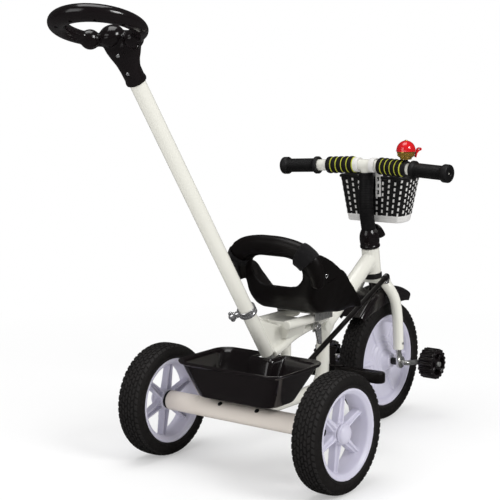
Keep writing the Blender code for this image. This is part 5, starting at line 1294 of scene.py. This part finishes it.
def tray():
    """The open tray with a rounded foot, a stepped rolled rim and its bosses and bolts."""
    levels = ((135, -5), (135.3, -3), (136.4, -1.2), (139, 0), (165, 0), (192, 0), (193.6, 0.4), (194.6, 1.4))
    levels += ((195.2, 3), (195.6, 4.2), (196.6, 4.9), (198, 5), (199.4, 4.8), (200.4, 4), (201, 2.8))
    levels += ((201, 1.4), (200, 0.4), (198.6, -0.4), (198, -1.6), (196.6, -2.6), (192, -3), (165, -3))
    levels += ((143, -3.2), (140, -4.4), (138.6, -6.2), (138, -7.4))
    pieces = [lofted("tray_moulded", [tray_ring(height, grow) for height, grow in levels])]
    boss = [(0, 136.5), (9, 136.5), (9, 124.2), (8.2, 123.4), (0, 123.4)]
    head = [(0, 142.2), (3.4, 141.9), (5.6, 140.6), (6.4, 138.9), (6.4, 137.9), (0, 137.9)]
    for word, side in SIDES[::-1]:
        pieces.append(spun(f"tray_boss_{word}", boss, UP, at(side * 40, 0, 0), 40))
        trim(spun(f"tray_bolt_{word}", head, UP, at(side * 40, 0, 0), 32), "base", "zinc_steel")
    settle(joined("tray_moulded", *pieces), "tray", 50)


# Finishes on CAD nodes that keep their shape


def kept_nodes():
    """Gives every node that still shows the finish of its slot."""
    for node, obj in NODES.items():
        if obj.hide_render:
            continue
        obj.data.materials.clear()
        obj.data.materials.append(finish_for(SLOT_OF[node]))


# Stage

CAMERA_AT = (-1402.0, 1795.1, 735.0)
CAMERA_RIGHT = Vector((-0.79157, -0.61099, -0.01039))
CAMERA_UP = Vector((0.08054, -0.12117, 0.98936))
CAMERA_FORWARD = Vector((0.60574, -0.78231, -0.14513))
LENS = 94.95


def floor_finish():
    """A pale floor that fades into the white backdrop, and that gloss sees darker, as in a studio."""
    made, tree, shader = blank("floor_pale", Roughness=0.9, Specular_IOR_Level=0.0)
    path = added(tree, "LightPath")
    tone = mixed(tree, path.outputs["Is Glossy Ray"], (0.93, 0.93, 0.93), (0.07, 0.07, 0.07))
    feed(tree, shader, Base_Color=tone)
    reach = added(tree, "VectorMath")
    reach.operation = "LENGTH"
    plug(tree, reach.inputs[0], own_place(tree))
    glow = ranged(tree, reach.outputs["Value"], 0.35, 1, 0.25, 1.6)
    mix = added(tree, "MixShader")
    seen = worked(tree, "MULTIPLY", glow, path.outputs["Is Camera Ray"])
    for socket, value in zip(mix.inputs, (seen, shader.outputs[0], added(tree, "Emission").outputs[0])):
        plug(tree, socket, value)
    feed(tree, tree.nodes["Material Output"], Surface=mix.outputs[0])
    return made


def stage():
    """The floor, the studio's lights and the camera."""
    deselect()
    bpy.ops.mesh.primitive_plane_add(size=60, location=(0, 0, -0.0002))
    floor = bpy.context.object
    floor.name = "floor"
    floor.data.materials.append(floor_finish())
    scene = bpy.context.scene
    world = bpy.data.worlds.new("studio")
    scene.world = world
    world.use_nodes = True
    tree = world.node_tree
    path = added(tree, "LightPath")
    dim = worked(tree, "MULTIPLY_ADD", path.outputs["Is Glossy Ray"], -0.53, 0.58)
    lit = worked(tree, "MAXIMUM", path.outputs["Is Camera Ray"], dim)
    feed(tree, tree.nodes["Background"], Color=(1, 1, 1, 1), Strength=lit)
    for name, place, size, power in (
        ("key", (-3.2, 0.3, 2.6), 1.4, 72),
        ("fill", (0.7, 3.4, 1.8), 2.0, 22),
        ("top", (0.4, 0.2, 3.8), 2.2, 44),
    ):
        bpy.ops.object.light_add(type="AREA", location=place)
        lamp = bpy.context.object
        lamp.name = name
        lamp.data.size = size
        lamp.data.energy = power
        lamp.rotation_euler = (Vector((0, 0, 0.35)) - Vector(place)).to_track_quat("-Z", "Y").to_euler()
    data = bpy.data.cameras.new("camera")
    data.lens = LENS
    data.sensor_width = 36
    data.clip_end = 100
    scene.camera = bpy.data.objects.new("camera", data)
    scene.collection.objects.link(scene.camera)
    turn = Matrix((CAMERA_RIGHT, CAMERA_UP, -CAMERA_FORWARD)).transposed().to_4x4()
    scene.camera.matrix_world = Matrix.Translation(at(*CAMERA_AT)) @ turn
    scene.view_settings.view_transform = "Standard"


# The add-on's properties, operators and panel


def colour(name, description, default):
    return FloatVectorProperty(
        name=name, description=description, default=default, subtype="COLOR", size=3, min=0, max=1
    )


class TricycleColours(bpy.types.PropertyGroup):
    """Base colours of the finishes."""

    frame: colour("Frame paint", "Warm white gloss paint of the frame", (0.78, 0.77, 0.70))
    axle: colour("Axle paint", "Cream paint of the rear axle tube", (0.80, 0.73, 0.66))
    rim: colour("Rims", "Moulded plastic of the rims and hub caps", (0.60, 0.585, 0.69))
    tyre: colour("Tyres", "Foam rubber of the tyres", (0.009, 0.0075, 0.007))
    gloss_black: colour("Gloss black", "Glossy moulded plastic", (0.007, 0.005, 0.0055))
    seat: colour("Seat black", "Satin plastic of the seat", (0.0045, 0.003, 0.0028))
    rubber: colour("Rubber", "Grips, sleeve and collars", (0.005, 0.0045, 0.005))
    zinc: colour("Zinc plate", "Plated steel", (0.66, 0.66, 0.64))
    chrome: colour("Chrome", "Chromed steel", (0.78, 0.78, 0.79))
    foam: colour("Bar foam", "Black foam on the handlebar", (0.007, 0.006, 0.006))
    foam_rings: colour("Foam rings", "Yellow-green rings of the foam", (0.50, 0.52, 0.05))
    bell_red: colour("Bell dome", "Red lacquer", (0.62, 0.010, 0.014))
    bell_gold: colour("Bell cup", "Gold-coloured cup", (0.80, 0.52, 0.12))
    webbing: colour("Webbing", "Black nylon", (0.0055, 0.005, 0.0055))
    basket_black: colour("Basket strands", "Black strands", (0.005, 0.0045, 0.0045))
    basket_white: colour("Basket stakes", "White stakes and foot", (0.74, 0.73, 0.71))


class TricycleSizes(bpy.types.PropertyGroup):
    """Sizes of the surface details."""

    tread_depth: FloatProperty(
        name="Tread depth",
        description="Height of the tread blocks",
        default=1.5 * MM,
        subtype="DISTANCE",
        unit="LENGTH",
    )
    foam_rings: IntProperty(
        name="Foam rings", description="Coloured rings on each bar foam", default=5, min=1, max=9
    )


def operator(work):
    """One operator that models a piece or a group of like pieces, in the words of its function."""

    def execute(self, context):
        work()
        return {"FINISHED"}

    name = work.__name__
    members = {
        "bl_idname": f"tricycle.{name}",
        "bl_label": name.replace("_", " ").title(),
        "bl_options": {"REGISTER", "UNDO"},
        "__doc__": work.__doc__,
        "execute": execute,
    }
    return type(f"TRICYCLE_OT_{name}", (bpy.types.Operator,), members)


def tyres():
    """The three foam tyres with their tread."""
    for name, radius, inner, half, pitches in TYRES:
        tyre(name, radius, inner, half, pitches)


def rims():
    """The rims and hub caps."""
    for word, side in SIDES:
        rear_rim(word, side)
        hub_cap(word, side)
    front_rim()


def cranks():
    """The crank rod, the pedals and what holds them to the fork."""
    crank()
    for word, side in SIDES:
        pedal(word, side)
        axle_ends(word, side)


WORKS = (
    (tyres, rims, rear_axle, cranks, painted_frame, fender, head_fittings, handlebar, bar_foams, grips, bell)
    + (basket, basket_hooks, push_bar, hand_wheel, linkage, footrests, seat, harness, tray, kept_nodes, stage)
)
STEPS = tuple(operator(work) for work in WORKS)


class TRICYCLE_PT_finish(bpy.types.Panel):
    """Lists the pieces and the sizes and colours that they take."""

    bl_idname = "TRICYCLE_PT_finish"
    bl_label = "Push Tricycle"
    bl_space_type = "VIEW_3D"
    bl_region_type = "UI"
    bl_category = "Tricycle"

    def draw(self, context):
        column = self.layout.column()
        for group in (context.scene.tricycle_sizes, context.scene.tricycle_colours):
            for name in group.bl_rna.properties.keys():
                if name not in ("rna_type", "name"):
                    column.prop(group, name)
        for step in STEPS:
            column.operator(step.bl_idname)


CLASSES = (TricycleColours, TricycleSizes, *STEPS, TRICYCLE_PT_finish)


def register():
    for each in CLASSES:
        bpy.utils.register_class(each)
    bpy.types.Scene.tricycle_colours = PointerProperty(type=TricycleColours)
    bpy.types.Scene.tricycle_sizes = PointerProperty(type=TricycleSizes)


def unregister():
    del bpy.types.Scene.tricycle_colours
    del bpy.types.Scene.tricycle_sizes
    for each in reversed(CLASSES):
        bpy.utils.unregister_class(each)


def main():
    register()
    for step in STEPS:
        getattr(bpy.ops.tricycle, step.bl_idname.split(".")[1])()
    deselect()


if __name__ == "__main__":
    main()
